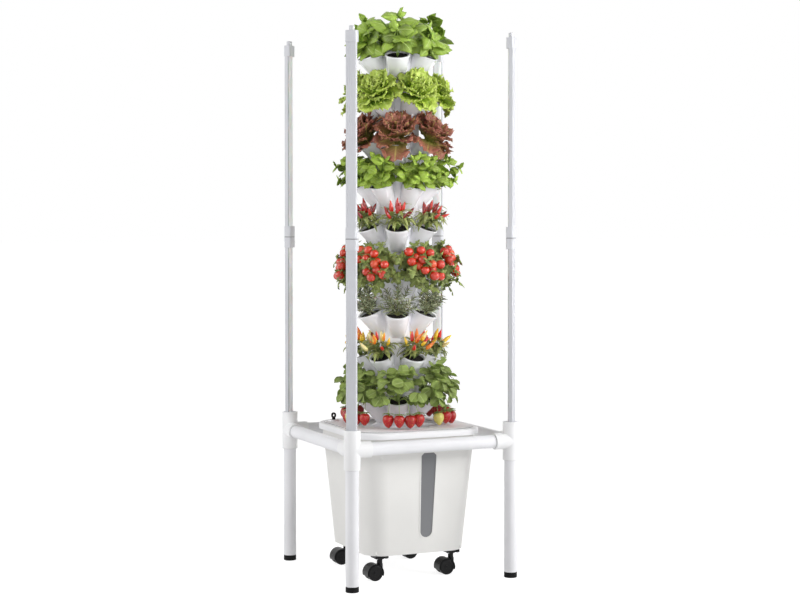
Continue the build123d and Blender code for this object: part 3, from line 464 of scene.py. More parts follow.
def damp_medium(name, base):
    """Damp peat and bark."""
    # The eye sees near-black crumbs with brown bark flakes, quite matt.
    crumb_mm, crumb_depth_mm = 3.5, 1.0
    made, tree = start_material(name)
    place = add_node(tree, "ShaderNodeTexCoord").outputs["Object"]
    crumb = add_node(tree, "ShaderNodeTexNoise", inputs={
        "Vector": place, "Scale": 1 / (crumb_mm * MM), "Detail": 4.0})
    shade = add_node(tree, "ShaderNodeValToRGB", inputs={"Fac": crumb.outputs["Fac"]},
                     stops=[(0.35, shaded(base, 0.5)), (0.6, base), (0.75, linear("#3F3127"))])
    gloss = add_node(tree, "ShaderNodeMapRange", inputs={
        **NOISE_SPAN, "Value": crumb.outputs["Fac"], "To Min": 0.95, "To Max": 0.7})
    skin = add_node(tree, "ShaderNodeBump", inputs={
        "Strength": 0.8, "Distance": crumb_depth_mm * MM, "Height": crumb.outputs["Fac"]})
    end_material(tree, {
        "Base Color": shade.outputs["Color"], "Roughness": gloss.outputs["Result"],
        "Normal": skin.outputs["Normal"], "IOR": 1.4})
    return made


def dress(material, *nodes):
    """Give CAD nodes a finish, in the material slots they already have."""
    for node in nodes:
        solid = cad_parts[node]
        if not solid.material_slots:
            raise RuntimeError(f"{node} has no material slot")
        for slot in solid.material_slots:
            slot.material = material


# Meshes of the plants, in millimetres until a piece is finished


def ovate(u):
    """Half width of a broad leaf at a share of its length, as a share of the widest."""
    return math.sin(math.pi * u ** 0.78) ** 0.85


def lance(u):
    """Half width of a narrow leaf."""
    return math.sin(math.pi * u ** 0.85) ** 1.15


def toothed_round(u):
    """Half width of a round leaf with a toothed edge."""
    return (math.sin(math.pi * u ** 1.2) ** 0.55) * (1 + 0.07 * math.sin(15 * math.pi * u))


def cut_ovate(u):
    """Half width of a deeply cut leaf."""
    return (math.sin(math.pi * u ** 0.7) ** 0.8) * (1 + 0.34 * math.sin(5 * math.pi * u))


def fan(u):
    """Half width of a leaf that widens up to its end."""
    rise = min(1.0, u / 0.62)
    return 0.2 + 0.8 * rise * rise * (3 - 2 * rise)


def lobed_fan(u):
    """Half width of a fan with lobes."""
    return fan(u) * (1 + 0.2 * math.sin(6.5 * math.pi * u))


# A leaf's outline, the faces along and across it, its cup as a share of its half width, the height in
# mm and the number of the waves of its edge, how much shorter its sides are than its middle, the
# height in mm and the fineness of its frill, and how far the frill's edge is torn
LeafForm = namedtuple("LeafForm", "outline along across cup wave waves blunt frill frills jag",
                      defaults=(0.0, 0.0, 0.0, 0.0))

FORMS = {
    "basil": LeafForm(ovate, 7, 6, -0.5, 1.6, 2.0),
    "mint": LeafForm(ovate, 6, 4, -0.22, 1.4, 2.5),
    "pepper": LeafForm(lance, 6, 2, 0.25, 1.2, 1.5),
    "tomato": LeafForm(cut_ovate, 10, 2, -0.35, 2.4, 2.0),
    "strawberry": LeafForm(toothed_round, 8, 4, 0.3, 0.8, 3.0, blunt=0.05),
    "green_lettuce": LeafForm(fan, 12, 18, 0.2, 2.0, 1.5, blunt=0.34, frill=9.5, frills=4.4, jag=0.24),
    "red_lettuce": LeafForm(lobed_fan, 14, 14, 0.15, 2.0, 1.5, blunt=0.34, frill=7.5, frills=3.4, jag=0.24),
    "sepal": LeafForm(lance, 3, 2, 0.2, 0.0, 0.0),
}

# A pot's outer shape in mm: it leans out and flares from its foot on the barrel to its mouth
POT_FOOT_OUT, POT_FOOT_HEIGHT, POT_FOOT_GIRTH = 52, 5, 24
POT_LEAN, POT_RISE, POT_FLARE = 53, 80, 17.2
POT_FLAT = 3.2  # how much slimmer the mouth is along the lean than across it
POT_DIP = 15.4  # how much lower the outer edge of the mouth is than its middle
POT_REACH = (4.0, 125.0)  # heights above a tier's foot at which a leaf can meet its pots
POT_WALL = 0.84  # share of the girth at which the wall's inside lies
LEAF_GAP, BRIM_GAP = 2.0, 3
MEDIUM_DEPTH = 9  # the medium's top below the brim


def start_mesh():
    """An empty mesh with a UV map and the attribute that tells one leaf or fruit from the next."""
    mesh = bmesh.new()
    mesh.loops.layers.uv.new("UVMap")
    mesh.verts.layers.float.new("tint")
    return mesh


def clear_of_tower(sizes, point):
    """The nearest place outside the barrel and the pots, in the tower's own millimetres."""
    radius = math.hypot(point.x, point.y)
    barrel = sizes.barrel_radius / MM + LEAF_GAP
    if 1e-6 < radius < barrel and point.z < STACK_TOP:
        point = Vector((point.x * barrel / radius, point.y * barrel / radius, point.z))
    for tier in TIERS:
        low = point.z - TIER_FEET[tier]
        if POT_REACH[0] < low < POT_REACH[1]:
            point = clear_of_pot(sizes, tier, point)
    return point


def clear_of_pot(sizes, tier, point):
    """The nearest place outside the wall of a tier's pot, or above the medium inside it."""
    low = point.z - TIER_FEET[tier]
    step = 360 / len(POTS)
    first = math.degrees(sizes.first_pot) + (step / 2 if tier % 2 == 0 else 0)
    turn = math.degrees(math.atan2(point.y, point.x)) - first
    near = math.radians(first + step * round(turn / step))
    out = point.x * math.cos(near) + point.y * math.sin(near)
    aside = point.y * math.cos(near) - point.x * math.sin(near)

    # The share of the way from foot to mouth, which depends on the side because the mouth is tilted
    share, middle = (low - POT_FOOT_HEIGHT) / POT_RISE, 0.0
    for _ in range(3):
        share = min(1.05, max(0.0, share))
        middle = POT_FOOT_OUT + POT_LEAN * share
        ahead = (out - middle) / max(1.0, math.hypot(out - middle, aside))
        share = (low - POT_FOOT_HEIGHT) / (POT_RISE - POT_DIP * ahead)
    share = min(1.05, max(0.0, share))

    girth = POT_FOOT_GIRTH + POT_FLARE * share + LEAF_GAP
    reach = math.hypot((out - middle) / (girth - POT_FLAT * share), aside / girth)
    brim = sizes.mouth_height / MM - (out - sizes.mouth_circle / MM) * math.tan(sizes.mouth_tilt)
    if reach >= 1 or low > brim + BRIM_GAP:
        return point
    if reach < POT_WALL:
        low = max(low, brim - MEDIUM_DEPTH)
    else:
        out = middle + (out - middle) / reach
        aside /= reach
    return Vector((out * math.cos(near) - aside * math.sin(near),
                   out * math.sin(near) + aside * math.cos(near), low + TIER_FEET[tier]))


def add_blade(mesh, place, form, length, width, curl, tint, rng, sizes=None):
    """One leaf along +X of place: a grid cut to its outline, bent along its midrib, cupped and waved."""
    layer = mesh.verts.layers.float["tint"]
    made = bmesh.ops.create_grid(mesh, x_segments=form.along, y_segments=form.across, size=1.0, calc_uvs=True)
    least_curl, least_half = 0.1, 0.35
    bend = math.radians(curl) if abs(curl) > least_curl else 0.002
    phase, seed = rng.uniform(0, TAU), rng.uniform(0, 100)
    for vert in made["verts"]:
        u, s = (vert.co.x + 1) / 2, vert.co.y
        half = max(least_half, width / 2 * form.outline(u))
        reach = u - form.blunt * u * u * s * s
        lift = form.cup * half * s * s + form.wave * abs(s) * math.sin(TAU * form.waves * u + phase)
        if form.frill:
            edge = max(abs(s) ** 2.2 * min(1.0, 2 * u), u ** 3.5)
            ruffle = noise.noise(Vector((u * form.frills, s * form.frills, seed)))
            fringe = math.sin(TAU * (3.2 * s * (0.5 + u) + 0.9 * u) + phase)
            lift += edge * form.frill * (1.4 * ruffle + 0.6 * fringe)
            reach *= 1 + 0.8 * form.jag * edge * noise.noise(Vector((seed, s * 6.0, u * 3.0)))
            half *= 1 + form.jag * edge * noise.noise(Vector((u * 8.0, seed, s)))
        angle = bend * reach
        vert.co = place @ Vector((
            length * math.sin(angle) / bend - math.sin(angle) * lift,
            s * half,
            length * (1 - math.cos(angle)) / bend + math.cos(angle) * lift))
        if sizes:
            vert.co = clear_of_tower(sizes, vert.co)
        vert[layer] = tint


def add_tube(mesh, place, points, radii, sides=6, tint=0.5):
    """A closed round body through points, with a radius at each."""
    layer = mesh.verts.layers.float["tint"]
    points = [place @ Vector(point) for point in points]
    edges, ring, before = None, None, None
    for number, (point, radius) in enumerate(zip(points, radii)):
        ahead = points[min(number + 1, len(points) - 1)] - points[max(number - 1, 0)]
        turn = ahead.to_track_quat("Z", "Y").to_matrix().to_4x4()
        here = Matrix.Translation(point) @ turn @ Matrix.Diagonal((radius, radius, radius, 1.0))
        if edges is None:
            ring = bmesh.ops.create_circle(mesh, cap_ends=True, radius=1.0, segments=sides,
                                           matrix=here)["verts"]
            edges = list(dict.fromkeys(edge for vert in ring for edge in vert.link_edges))
        else:
            grown = bmesh.ops.extrude_edge_only(mesh, edges=edges)["geom"]
            ring = [item for item in grown if isinstance(item, bmesh.types.BMVert)]
            edges = [item for item in grown if isinstance(item, bmesh.types.BMEdge)
                     and item.verts[0] in ring and item.verts[1] in ring]
            bmesh.ops.transform(mesh, matrix=here @ before.inverted(), verts=ring)
        before = here
        for vert in ring:
            vert[layer] = tint
    bmesh.ops.contextual_create(mesh, geom=edges)


def arch(start, end, rise, steps=5):
    """Points of a stem from start to end that bows upward by rise."""
    start, end = Vector(start), Vector(end)
    shares = [step / steps for step in range(steps + 1)]
    return [start.lerp(end, share) + Vector((0, 0, rise * 4 * share * (1 - share))) for share in shares]


def along(points, share):
    """The point at a share of the way through points."""
    spot = share * (len(points) - 1)
    first = min(int(spot), len(points) - 2)
    return points[first].lerp(points[first + 1], spot - first)


def heading(turn, rise):
    """The way that points turn degrees round from outward and rise degrees up."""
    turn, rise = math.radians(turn), math.radians(rise)
    return Vector((math.cos(turn) * math.cos(rise), math.sin(turn) * math.cos(rise), math.sin(rise)))


def set_at(base, turn, rise, roll=0.0):
    """A place at base whose +X points turn degrees round from outward and rise degrees up."""
    return (Matrix.Translation(Vector(base)) @ Matrix.Rotation(math.radians(turn), 4, "Z")
            @ Matrix.Rotation(-math.radians(rise), 4, "Y") @ Matrix.Rotation(math.radians(roll), 4, "X"))


def leaf_at(base, way, face):
    """A place at base whose +X points along way, with +Z turned towards face."""
    ahead = Vector(way).normalized()
    up = Vector(face) - ahead * ahead.dot(Vector(face))
    up = up.normalized() if up.length > 0.02 else ahead.orthogonal().normalized()
    return Matrix.Translation(Vector(base)) @ Matrix((ahead, up.cross(ahead), up)).transposed().to_4x4()


def light_from(rng):
    """The way a leaf's upper side looks: out from the tower and up."""
    return Vector((0.8, rng.uniform(-0.35, 0.35), rng.uniform(0.3, 0.8)))


def pot_places(sizes, tier):
    """Where each pot's mouth is: +X outward, +Z up, in millimetres."""
    step = TAU / len(POTS)
    first = sizes.first_pot + (math.pi / len(POTS) if tier % 2 == 0 else 0.0)
    lift = Matrix.Translation((sizes.mouth_circle / MM, 0, TIER_FEET[tier] + sizes.mouth_height / MM))
    return [Matrix.Rotation(first + pot * step, 4, "Z") @ lift for pot in POTS]


def planted_pots(sizes, tier, seed, *groups):
    """Each pot of a tier, its place and its random draws, with a new mesh in every group of meshes."""
    for pot, place in enumerate(pot_places(sizes, tier)):
        for meshes in groups:
            meshes.append(start_mesh())
        yield pot, place, random.Random(f"{seed} {pot}")


def finish_piece(name, meshes, material, node, thickness=0.0):
    """Join the pots' meshes into a piece of the tower, in metres, at the origin."""
    data = bpy.data.meshes.new(name)
    whole = bmesh.new()
    for mesh in meshes:
        bmesh.ops.scale(mesh, vec=Vector((MM, MM, MM)), verts=mesh.verts)
        if not thickness:
            bmesh.ops.recalc_face_normals(mesh, faces=mesh.faces)
        mesh.to_mesh(data)
        mesh.free()
        whole.from_mesh(data)
    whole.to_mesh(data)
    whole.free()
    data.shade_smooth()
    data.materials.append(material)
    piece = bpy.data.objects.new(name, data)
    bpy.context.scene.collection.objects.link(piece)
    if thickness:
        wall = piece.modifiers.new("leaf_thickness", "SOLIDIFY")
        wall.thickness = thickness
        wall.offset = 0.0
    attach(piece, "tower")
    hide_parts(node)


def finish_plants(kind, name, meshes, material, thickness=0.0):
    """Finish a piece that stands for a kind's plain solids, with others of that kind."""
    finish_piece(name, meshes, material, f"{kind}_plants", thickness)


def straight_shoot(turn, rise, length, rng, bow):
    """Points of a shoot from the medium, which bows upward."""
    root = (0, 0, -7)
    tip = heading(turn + rng.uniform(-6, 6), rise + rng.uniform(-4, 4)) * length
    return arch(root, tip, bow)


def leafy_shoot(leaves, stems, place, form, line, leaf, pairs, first, rng, sizes, droop, lean, taper,
                bare=0.14):
    """A stem with opposite pairs of leaves turned to the light, and a few young leaves on top."""
    # leaf is a length and a width in mm. lean is the lowest leaves' rise in degrees and how much more
    # the top ones have, taper how much smaller those are, bare the stem's share without leaves.
    length, width = leaf
    radii = [1.9 - 0.9 * step / (len(line) - 1) for step in range(len(line))]
    add_tube(stems, place, line, radii)
    outward = math.degrees(math.atan2(line[-1].y - line[0].y, line[-1].x - line[0].x))
    for pair in range(pairs):
        share = (pair + 1) / pairs
        base = along(line, bare + (0.97 - bare) * share)
        for side in (0, 180):
            size = (1 - taper * share) * rng.uniform(0.84, 1.12)
            way = heading(outward + first + 90 * pair + side + rng.uniform(-20, 20),
                          lean[0] + lean[1] * share + rng.uniform(-14, 14))
            spot = place @ leaf_at(base, way, light_from(rng))
            add_blade(leaves, spot, FORMS[form], length * size, width * size, droop * rng.uniform(0.5, 1.3),
                      rng.random(), rng, sizes)
    for young in range(4):
        way = heading(outward + first + 45 + 90 * young, 30 + 14 * (young % 2))
        add_blade(leaves, place @ leaf_at(line[-1], way, light_from(rng)), FORMS[form], 0.5 * length,
                  0.42 * width, 0.6 * droop, 0.9, rng, sizes)


# Operators


class TOWER_OT_finish_frame(Operator):
    """Give the pipe frame and the light poles their finishes"""
    bl_idname = "tower.finish_frame"
    bl_label = "Finish the light frame"
    bl_options = {"REGISTER", "UNDO"}

    def execute(self, context):
        # Each plastic: its roughness, and the width and depth in mm of its orange peel
        finishes = context.scene.tower_finishes
        pipe = moulded_plastic("extruded_pvc_pipe", finishes.pipe, 0.38, 4.0, 0.05, (1.0, 1.0, 0.05))
        # Painted shade round the pipes where they enter the tees: at the ends of the tees' arms on the rails,
        # and under the tees on the legs
        tee_low, tee_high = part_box("corner_tee_front_left")
        seam = 2 * MM
        for way, place in (((1, 0, 0), -tee_high.x), ((0, 1, 0), -tee_high.y), ((0, 0, 1), tee_low.z)):
            paint_shade_line(pipe, way, place, seam, 0.7)
        rails = [f"rail_{side}" for side in ("front", "right", "rear", "left")]
        dress(pipe, *[f"leg_{corner}" for corner in CORNERS], *rails)
        dress(moulded_plastic("moulded_pvc_fitting", finishes.fitting, 0.34, 2.4, 0.05),
              *[f"corner_tee_{corner}" for corner in CORNERS])
        rubber = moulded_plastic("moulded_black_rubber", finishes.black, 0.6, 1.2, 0.08, mirror=0.2)
        dress(rubber, "foot_caps")
        channel = moulded_plastic("painted_aluminium_channel", finishes.channel, 0.42, 1.2, 0.03,
                                  (1.0, 1.0, 0.1))
        dress(channel, "lower_light_bodies", "upper_light_bodies")
        cap = moulded_plastic("moulded_light_cap", finishes.channel, 0.36, 1.6, 0.04)
        # Painted shade in the groove where the two moulded caps of a light bar meet
        half_joint = 36 * MM
        paint_shade_line(cap, (0, 0, 1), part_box("light_end_fittings")[1].z - half_joint, seam, 0.9)
        dress(cap, "light_end_fittings", "light_top_caps")
        lens = frosted_lens("frosted_acrylic_lens", finishes.lens)
        # Painted shade along the lens's edges, where it meets the channel
        lens_edge = 2.5 * MM
        corner_way = (math.sqrt(0.5), math.sqrt(0.5), 0)
        paint_shade_line(lens, corner_way, LEG_AXIS * math.sqrt(2) - lens_edge, lens_edge, 0.8)
        dress(lens, "light_lenses")
        dress(led_board("white_led_board"), "led_strips")
        return {"FINISHED"}


class TOWER_OT_finish_tank(Operator):
    """Give the tank, its lid, its pump and its casters their finishes"""
    bl_idname = "tower.finish_tank"
    bl_label = "Finish the tank"
    bl_options = {"REGISTER", "UNDO"}

    def execute(self, context):
        finishes = context.scene.tower_finishes
        tub = moulded_plastic("moulded_polypropylene_tank", finishes.tank, 0.4, 1.8, 0.06, drift=0.03)
        dress(tub, "tank_tub")
        lid = moulded_plastic("moulded_polypropylene_lid", finishes.lid, 0.5, 1.8, 0.05, drift=0.03,
                              mirror=0.1)
        # Painted shade along the step round the lid's top
        half_step = 1.25 * MM
        paint_shade_line(lid, (0, 0, 1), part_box("tank_lid")[1].z - half_step, 1.2 * MM, 0.9)
        dress(lid, "tank_lid", "filler_plug")
        dress(smoked_window("smoked_clear_plastic", finishes.window), "level_window")
        black = moulded_plastic("moulded_black_nylon", finishes.black, 0.3, 1.4, 0.06, drift=0.2, mirror=0.22)
        dress(black, "filler_pull_loop", "caster_plates", "pump_body", "pump_cover",
              *[f"caster_hood_{corner}" for corner in CORNERS])
        wheel = moulded_plastic("moulded_wheel_nylon", shaded(finishes.black, 1.25), 0.34, 1.2, 0.08,
                                drift=0.25, mirror=0.2)
        dress(wheel, *[f"caster_wheels_{corner}" for corner in CORNERS])
        dress(moulded_plastic("grommet_rubber", finishes.black, 0.62, 1.0, 0.06), "cable_grommet")
        dress(zinc_steel("zinc_plated_steel"), "caster_screws")
        riser = moulded_plastic("extruded_riser_pipe", finishes.pipe, 0.4, 4.0, 0.05, (1.0, 1.0, 0.05))
        dress(riser, "riser_pipe")
        dress(moulded_plastic("moulded_rotor", shaded(finishes.window, 0.6), 0.4, 1.2, 0.05), "pump_impeller")
        return {"FINISHED"}


class TOWER_OT_finish_tiers(Operator):
    """Give the planter tiers their finish"""
    bl_idname = "tower.finish_tiers"
    bl_label = "Finish the tiers"
    bl_options = {"REGISTER", "UNDO"}

    def execute(self, context):
        finishes = context.scene.tower_finishes
        planter = moulded_plastic("moulded_gloss_planter", finishes.planter, 0.24, 2.6, 0.04, drift=0.03)
        dress(planter, "base_collar", "tower_cap", *[f"tier_{tier}" for tier in TIERS])
        return {"FINISHED"}


class TOWER_OT_fill_pots(Operator):
    """Fill every pot with crumbly growing medium"""
    bl_idname = "tower.fill_pots"
    bl_label = "Fill the pots"
    bl_options = {"REGISTER", "UNDO"}

    def execute(self, context):
        sizes = context.scene.tower_sizes
        planting = context.scene.tower_planting
        meshes = []
        tilt = Matrix.Rotation(sizes.mouth_tilt, 4, "Y")
        lean = Matrix(((1, 0, 0.25, 0), (0, 1, 0, 0), (0, 0, 1, 0), (0, 0, 0, 1)))
        depth, bed_radius, crumbs = 11.0, 32.0, 40
        for tier in TIERS:
            for _, place, rng in planted_pots(sizes, tier, f"medium {tier}", meshes):
                mesh = meshes[-1]
                surface = place @ tilt @ Matrix.Translation((-1.6, 0, -6.5)) @ lean
                bmesh.ops.create_cone(
                    mesh, cap_ends=True, segments=24, radius1=31.0, radius2=34.4, depth=depth,
                    matrix=surface @ Matrix.Translation((0, 0, -depth / 2)))
                for _ in range(crumbs):
                    away, turn = bed_radius * math.sqrt(rng.random()), rng.uniform(0, TAU)
                    size = rng.uniform(1.6, 3.8)
                    spot = surface @ Matrix.Translation((away * math.cos(turn), away * math.sin(turn), 0.2))
                    lump = Matrix.Diagonal((
                        size, size * rng.uniform(0.6, 1.0), size * rng.uniform(0.4, 0.8), 1.0))
                    bmesh.ops.create_icosphere(
                        mesh, subdivisions=1, radius=1.0,
                        matrix=spot @ Matrix.Rotation(rng.uniform(0, TAU), 4, "Z") @ lump)
        material = damp_medium("damp_peat", planting.medium)
        finish_piece("medium_beds", meshes, material, "growing_medium")
        return {"FINISHED"}


class TOWER_OT_grow_basil(Operator):
    """Grow the basil of the top tier"""
    bl_idname = "tower.grow_basil"
    bl_label = "Grow basil"
    bl_options = {"REGISTER", "UNDO"}

    def execute(self, context):
        sizes = context.scene.tower_sizes
        planting = context.scene.tower_planting
        leaves, stems = [], []
        for pot, place, rng in planted_pots(sizes, 1, "basil", leaves, stems):
            height = 124.0 if pot % 2 == 0 else 80.0
            shoots = [(0, 84, height, 4, 45)] + [
                (turn, rise, share * height, 3, 20)
                for turn, rise, share in ((-58, 66, 0.74), (58, 66, 0.74), (0, 58, 0.7), (180, 80, 0.74))]
            for turn, rise, length, pairs, first in shoots:
                line = straight_shoot(turn, rise, length, rng, 3.0)
                leafy_shoot(leaves[-1], stems[-1], place, "basil", line, (76, 52), pairs, first, rng, sizes,
                            -92, (-12, 30), 0.04, 0.34)
        base = planting.basil
        leaf = leaf_blade("basil_leaf", base, shaded(base, 0.36), mixed(base, linear("#DDEBAA"), 0.5),
                          shaded(base, 0.92), 6, 0.36, bulge=0.6)
        finish_plants("basil", "basil_leaves", leaves, leaf, sizes.leaf_thickness)
        stem = green_stem("basil_stem", linear("#9DBB62"), linear("#6F9440"))
        finish_plants("basil", "basil_stems", stems, stem)
        return {"FINISHED"}


def grow_lettuce(kind, tier, tip, rings, colours, sizes):
    """Rosettes of frilled leaves, leaned out so that their hearts look away from the tower."""
    base, deep, vein, rim, foot = colours
    leaves, hearts = [], []
    lean = Matrix.Translation((5, 0, 2)) @ Matrix.Rotation(math.radians(tip), 4, "Y")
    for _, place, rng in planted_pots(sizes, tier, kind, leaves, hearts):
        add_tube(hearts[-1], place, [(0, 0, -8), (2, 0, 1), (6, 0, 8)], (7, 7, 4), 8)
        for number, (count, rise, length, width, curl) in enumerate(rings):
            for leaf in range(count):
                turn = 360 * (leaf + 0.5 * (number % 2)) / count + rng.uniform(-12, 12)
                back = 0.5 - 0.5 * math.cos(math.radians(turn))
                up = rise + (62 - 0.7 * rise) * back + rng.uniform(-7, 7)
                size = rng.uniform(0.88, 1.1)
                spot = place @ lean @ set_at((0, 0, 0.1 * rise), turn, up, rng.uniform(-14, 14))
                young = number == len(rings) - 1 and leaf % 2
                add_blade(leaves[-1], spot, FORMS[kind], length * size, width * size,
                          curl * rng.uniform(0.6, 1.3), 1.0 if young else 0.85 * rng.random(), rng, sizes)
    leaf = leaf_blade(f"{kind}_leaf", base, deep, vein, rim, 7, 0.4, foot, 0.5)
    finish_plants(kind, f"{kind}_leaves", leaves, leaf, sizes.leaf_thickness)
    finish_plants(kind, f"{kind}_hearts", hearts, green_stem(f"{kind}_heart", foot, shaded(foot, 0.7)))


class TOWER_OT_grow_green_lettuce(Operator):
    """Grow the frilled green lettuce of the second tier"""
    bl_idname = "tower.grow_green_lettuce"
    bl_label = "Grow green lettuce"
    bl_options = {"REGISTER", "UNDO"}

    def execute(self, context):
        sizes = context.scene.tower_sizes
        planting = context.scene.tower_planting
        # Each ring: how many leaves, their rise in degrees, length and width in mm, and curl in degrees
        rings = ((8, 14, 88, 78, -44), (7, 36, 86, 72, -22), (6, 56, 74, 60, 4), (4, 74, 58, 44, 18))
        base = planting.green_lettuce
        # The dark deep green and the darker foot, also used for the hearts, are painted shade in the
        # rosette's folds and heart
        colours = (base, mixed(base, linear("#3E7400"), 0.8), linear("#D2E488"),
                   mixed(base, linear("#DCEC8A"), 0.4), linear("#86AE3A"))
        grow_lettuce("green_lettuce", 2, 36, rings, colours, sizes)
        return {"FINISHED"}


class TOWER_OT_grow_red_lettuce(Operator):
    """Grow the red oak-leaf lettuce of the third tier"""
    bl_idname = "tower.grow_red_lettuce"
    bl_label = "Grow red lettuce"
    bl_options = {"REGISTER", "UNDO"}

    def execute(self, context):
        sizes = context.scene.tower_sizes
        planting = context.scene.tower_planting
        # Each ring: how many leaves, their rise in degrees, length and width in mm, and curl in degrees
        rings = ((6, 8, 90, 74, -36), (6, 32, 92, 70, -24), (5, 56, 82, 60, -10), (4, 76, 64, 46, 0))
        colours = (linear("#A08450"), linear("#42221A"), linear("#C4B468"),
                   planting.red_lettuce, linear("#8A9440"))
        grow_lettuce("red_lettuce", 3, 34, rings, colours, sizes)
        return {"FINISHED"}


class TOWER_OT_grow_mint(Operator):
    """Grow the mint of the fourth tier"""
    bl_idname = "tower.grow_mint"
    bl_label = "Grow mint"
    bl_options = {"REGISTER", "UNDO"}

    def execute(self, context):
        sizes = context.scene.tower_sizes
        planting = context.scene.tower_planting
        leaves, stems = [], []
        # Each shoot: its turn and rise in degrees, its length in mm and its first leaves' turn
        shoots = ((0, 28, 112, 60), (-34, 46, 104, 30), (34, 46, 104, 90), (0, 62, 98, 20), (-66, 44, 76, 45),
                  (66, 44, 76, 0), (-16, 8, 88, 80), (40, 14, 80, 10), (180, 80, 60, 40), (-52, 22, 84, 15))
        for _, place, rng in planted_pots(sizes, 4, "mint", leaves, stems):
            for turn, rise, length, first in shoots:
                line = straight_shoot(turn, rise, length, rng, 8.0)
                leafy_shoot(leaves[-1], stems[-1], place, "mint", line, (50, 39), 3, first, rng, sizes,
                            -60, (-30, 40), 0.15)
        base = planting.mint
        leaf = leaf_blade("mint_leaf", base, shaded(base, 0.36), mixed(base, linear("#E0EDB0"), 0.5),
                          shaded(base, 0.95), 7, 0.42, bulge=0.6)
        finish_plants("mint", "mint_leaves", leaves, leaf, sizes.leaf_thickness)
        stem = green_stem("mint_stem", linear("#A4C268"), linear("#779B45"))
        finish_plants("mint", "mint_stems", stems, stem)
        return {"FINISHED"}


# Distance from the stalk and radius in mm, along a pod
POD_PROFILE = ((0, 2.8), (2, 4.8), (7, 6.6), (15, 6.4), (24, 5.0), (31, 2.8), (37, 0.5))


def grow_peppers(kind, tier, stems_of, leaf_size, pod_stops, interpolation, colours, sizes):
    """Chilli bushes: narrow drooping leaves under pods that stand up."""
    leaves, stems, pods = [], [], []
    length, width = leaf_size
    for _, place, rng in planted_pots(sizes, tier, kind, leaves, stems, pods):
        for turn, rise, reach in stems_of:
            line = straight_shoot(turn, rise, reach, rng, 2.0)
            add_tube(stems[-1], place, line, [1.7 - 0.15 * step for step in range(len(line))])
            for node in range(5):
                base = along(line, 0.3 + 0.15 * node + rng.uniform(-0.05, 0.05))
                way = heading(turn + rng.uniform(-100, 100), 38 + rng.uniform(-34, 24))
                size = rng.uniform(0.62, 1.12)
                add_blade(leaves[-1], place @ leaf_at(base, way, (0.3, 0, 1)), FORMS["pepper"], length * size,
                          width * size, rng.uniform(-135, -60), rng.random(), rng, sizes)
            tint = rng.random()
            size = rng.uniform(0.8, 1.1)
            pod_place = place @ set_at(line[-1], turn + rng.uniform(-25, 25), rise + 4 + rng.uniform(-22, 14))
            bow = rng.uniform(-3, 3)
            points = [(size * x, 0, bow * (x / POD_PROFILE[-1][0]) ** 2) for x, _ in POD_PROFILE]
            add_tube(pods[-1], pod_place, points, [size * radius for _, radius in POD_PROFILE], 9, tint)
            add_tube(stems[-1], pod_place, [(-2, 0, 0), (1.5, 0, 0), (3.0, 0, 0)], (1.6, 3.6, 4.4), 7)
    base, deep, vein = colours
    leaf = leaf_blade(f"{kind}_leaf", base, deep, vein, shaded(base, 0.9), 6, 0.34)
    finish_plants(kind, f"{kind}_leaves", leaves, leaf, sizes.leaf_thickness)
    stem = green_stem(f"{kind}_stem", linear("#9BB062"), linear("#6A8540"))
    finish_plants(kind, f"{kind}_stems", stems, stem)
    finish_plants(kind, f"{kind}_pods", pods, ripe_skin(f"{kind}_pod", pod_stops, 0.22, interpolation))


class TOWER_OT_grow_red_chilli(Operator):
    """Grow the red chillies of the fifth tier"""
    bl_idname = "tower.grow_red_chilli"
    bl_label = "Grow red chillies"
    bl_options = {"REGISTER", "UNDO"}

    def execute(self, context):
        sizes = context.scene.tower_sizes
        planting = context.scene.tower_planting
        stems = ((0, 74, 60), (-38, 60, 56), (38, 60, 56), (0, 46, 62), (-66, 52, 46), (66, 52, 46),
                 (-24, 28, 58), (26, 32, 58), (180, 84, 44), (14, 66, 54))
        base = planting.pepper_leaf
        stops = [(0.0, linear("#6A0806")), (0.5, linear("#B81410")), (1.0, linear("#D83222"))]
        grow_peppers("red_chilli", 5, stems, (62, 14), stops, "LINEAR",
                     (base, shaded(base, 0.26), linear("#CBD59C")), sizes)
        return {"FINISHED"}


class TOWER_OT_grow_mixed_chilli(Operator):
    """Grow the yellow, orange and red chillies of the eighth tier"""
    bl_idname = "tower.grow_mixed_chilli"
    bl_label = "Grow mixed chillies"
    bl_options = {"REGISTER", "UNDO"}

    def execute(self, context):
        sizes = context.scene.tower_sizes
        planting = context.scene.tower_planting
        stems = ((0, 72, 58), (-46, 62, 56), (46, 62, 56), (0, 42, 60), (-70, 50, 46), (70, 50, 46),
                 (-30, 26, 54), (30, 26, 54), (180, 84, 46), (-14, 60, 52))
        base = shaded(planting.pepper_leaf, 0.85)
        stops = [(0.0, linear("#F4E3A0")), (0.2, linear("#F6CB2E")), (0.48, linear("#F0801F")),
                 (0.76, linear("#D2201A"))]
        grow_peppers("mixed_chilli", 8, stems, (56, 15), stops, "CONSTANT",
                     (base, shaded(base, 0.24), linear("#B9C982")), sizes)
        return {"FINISHED"}


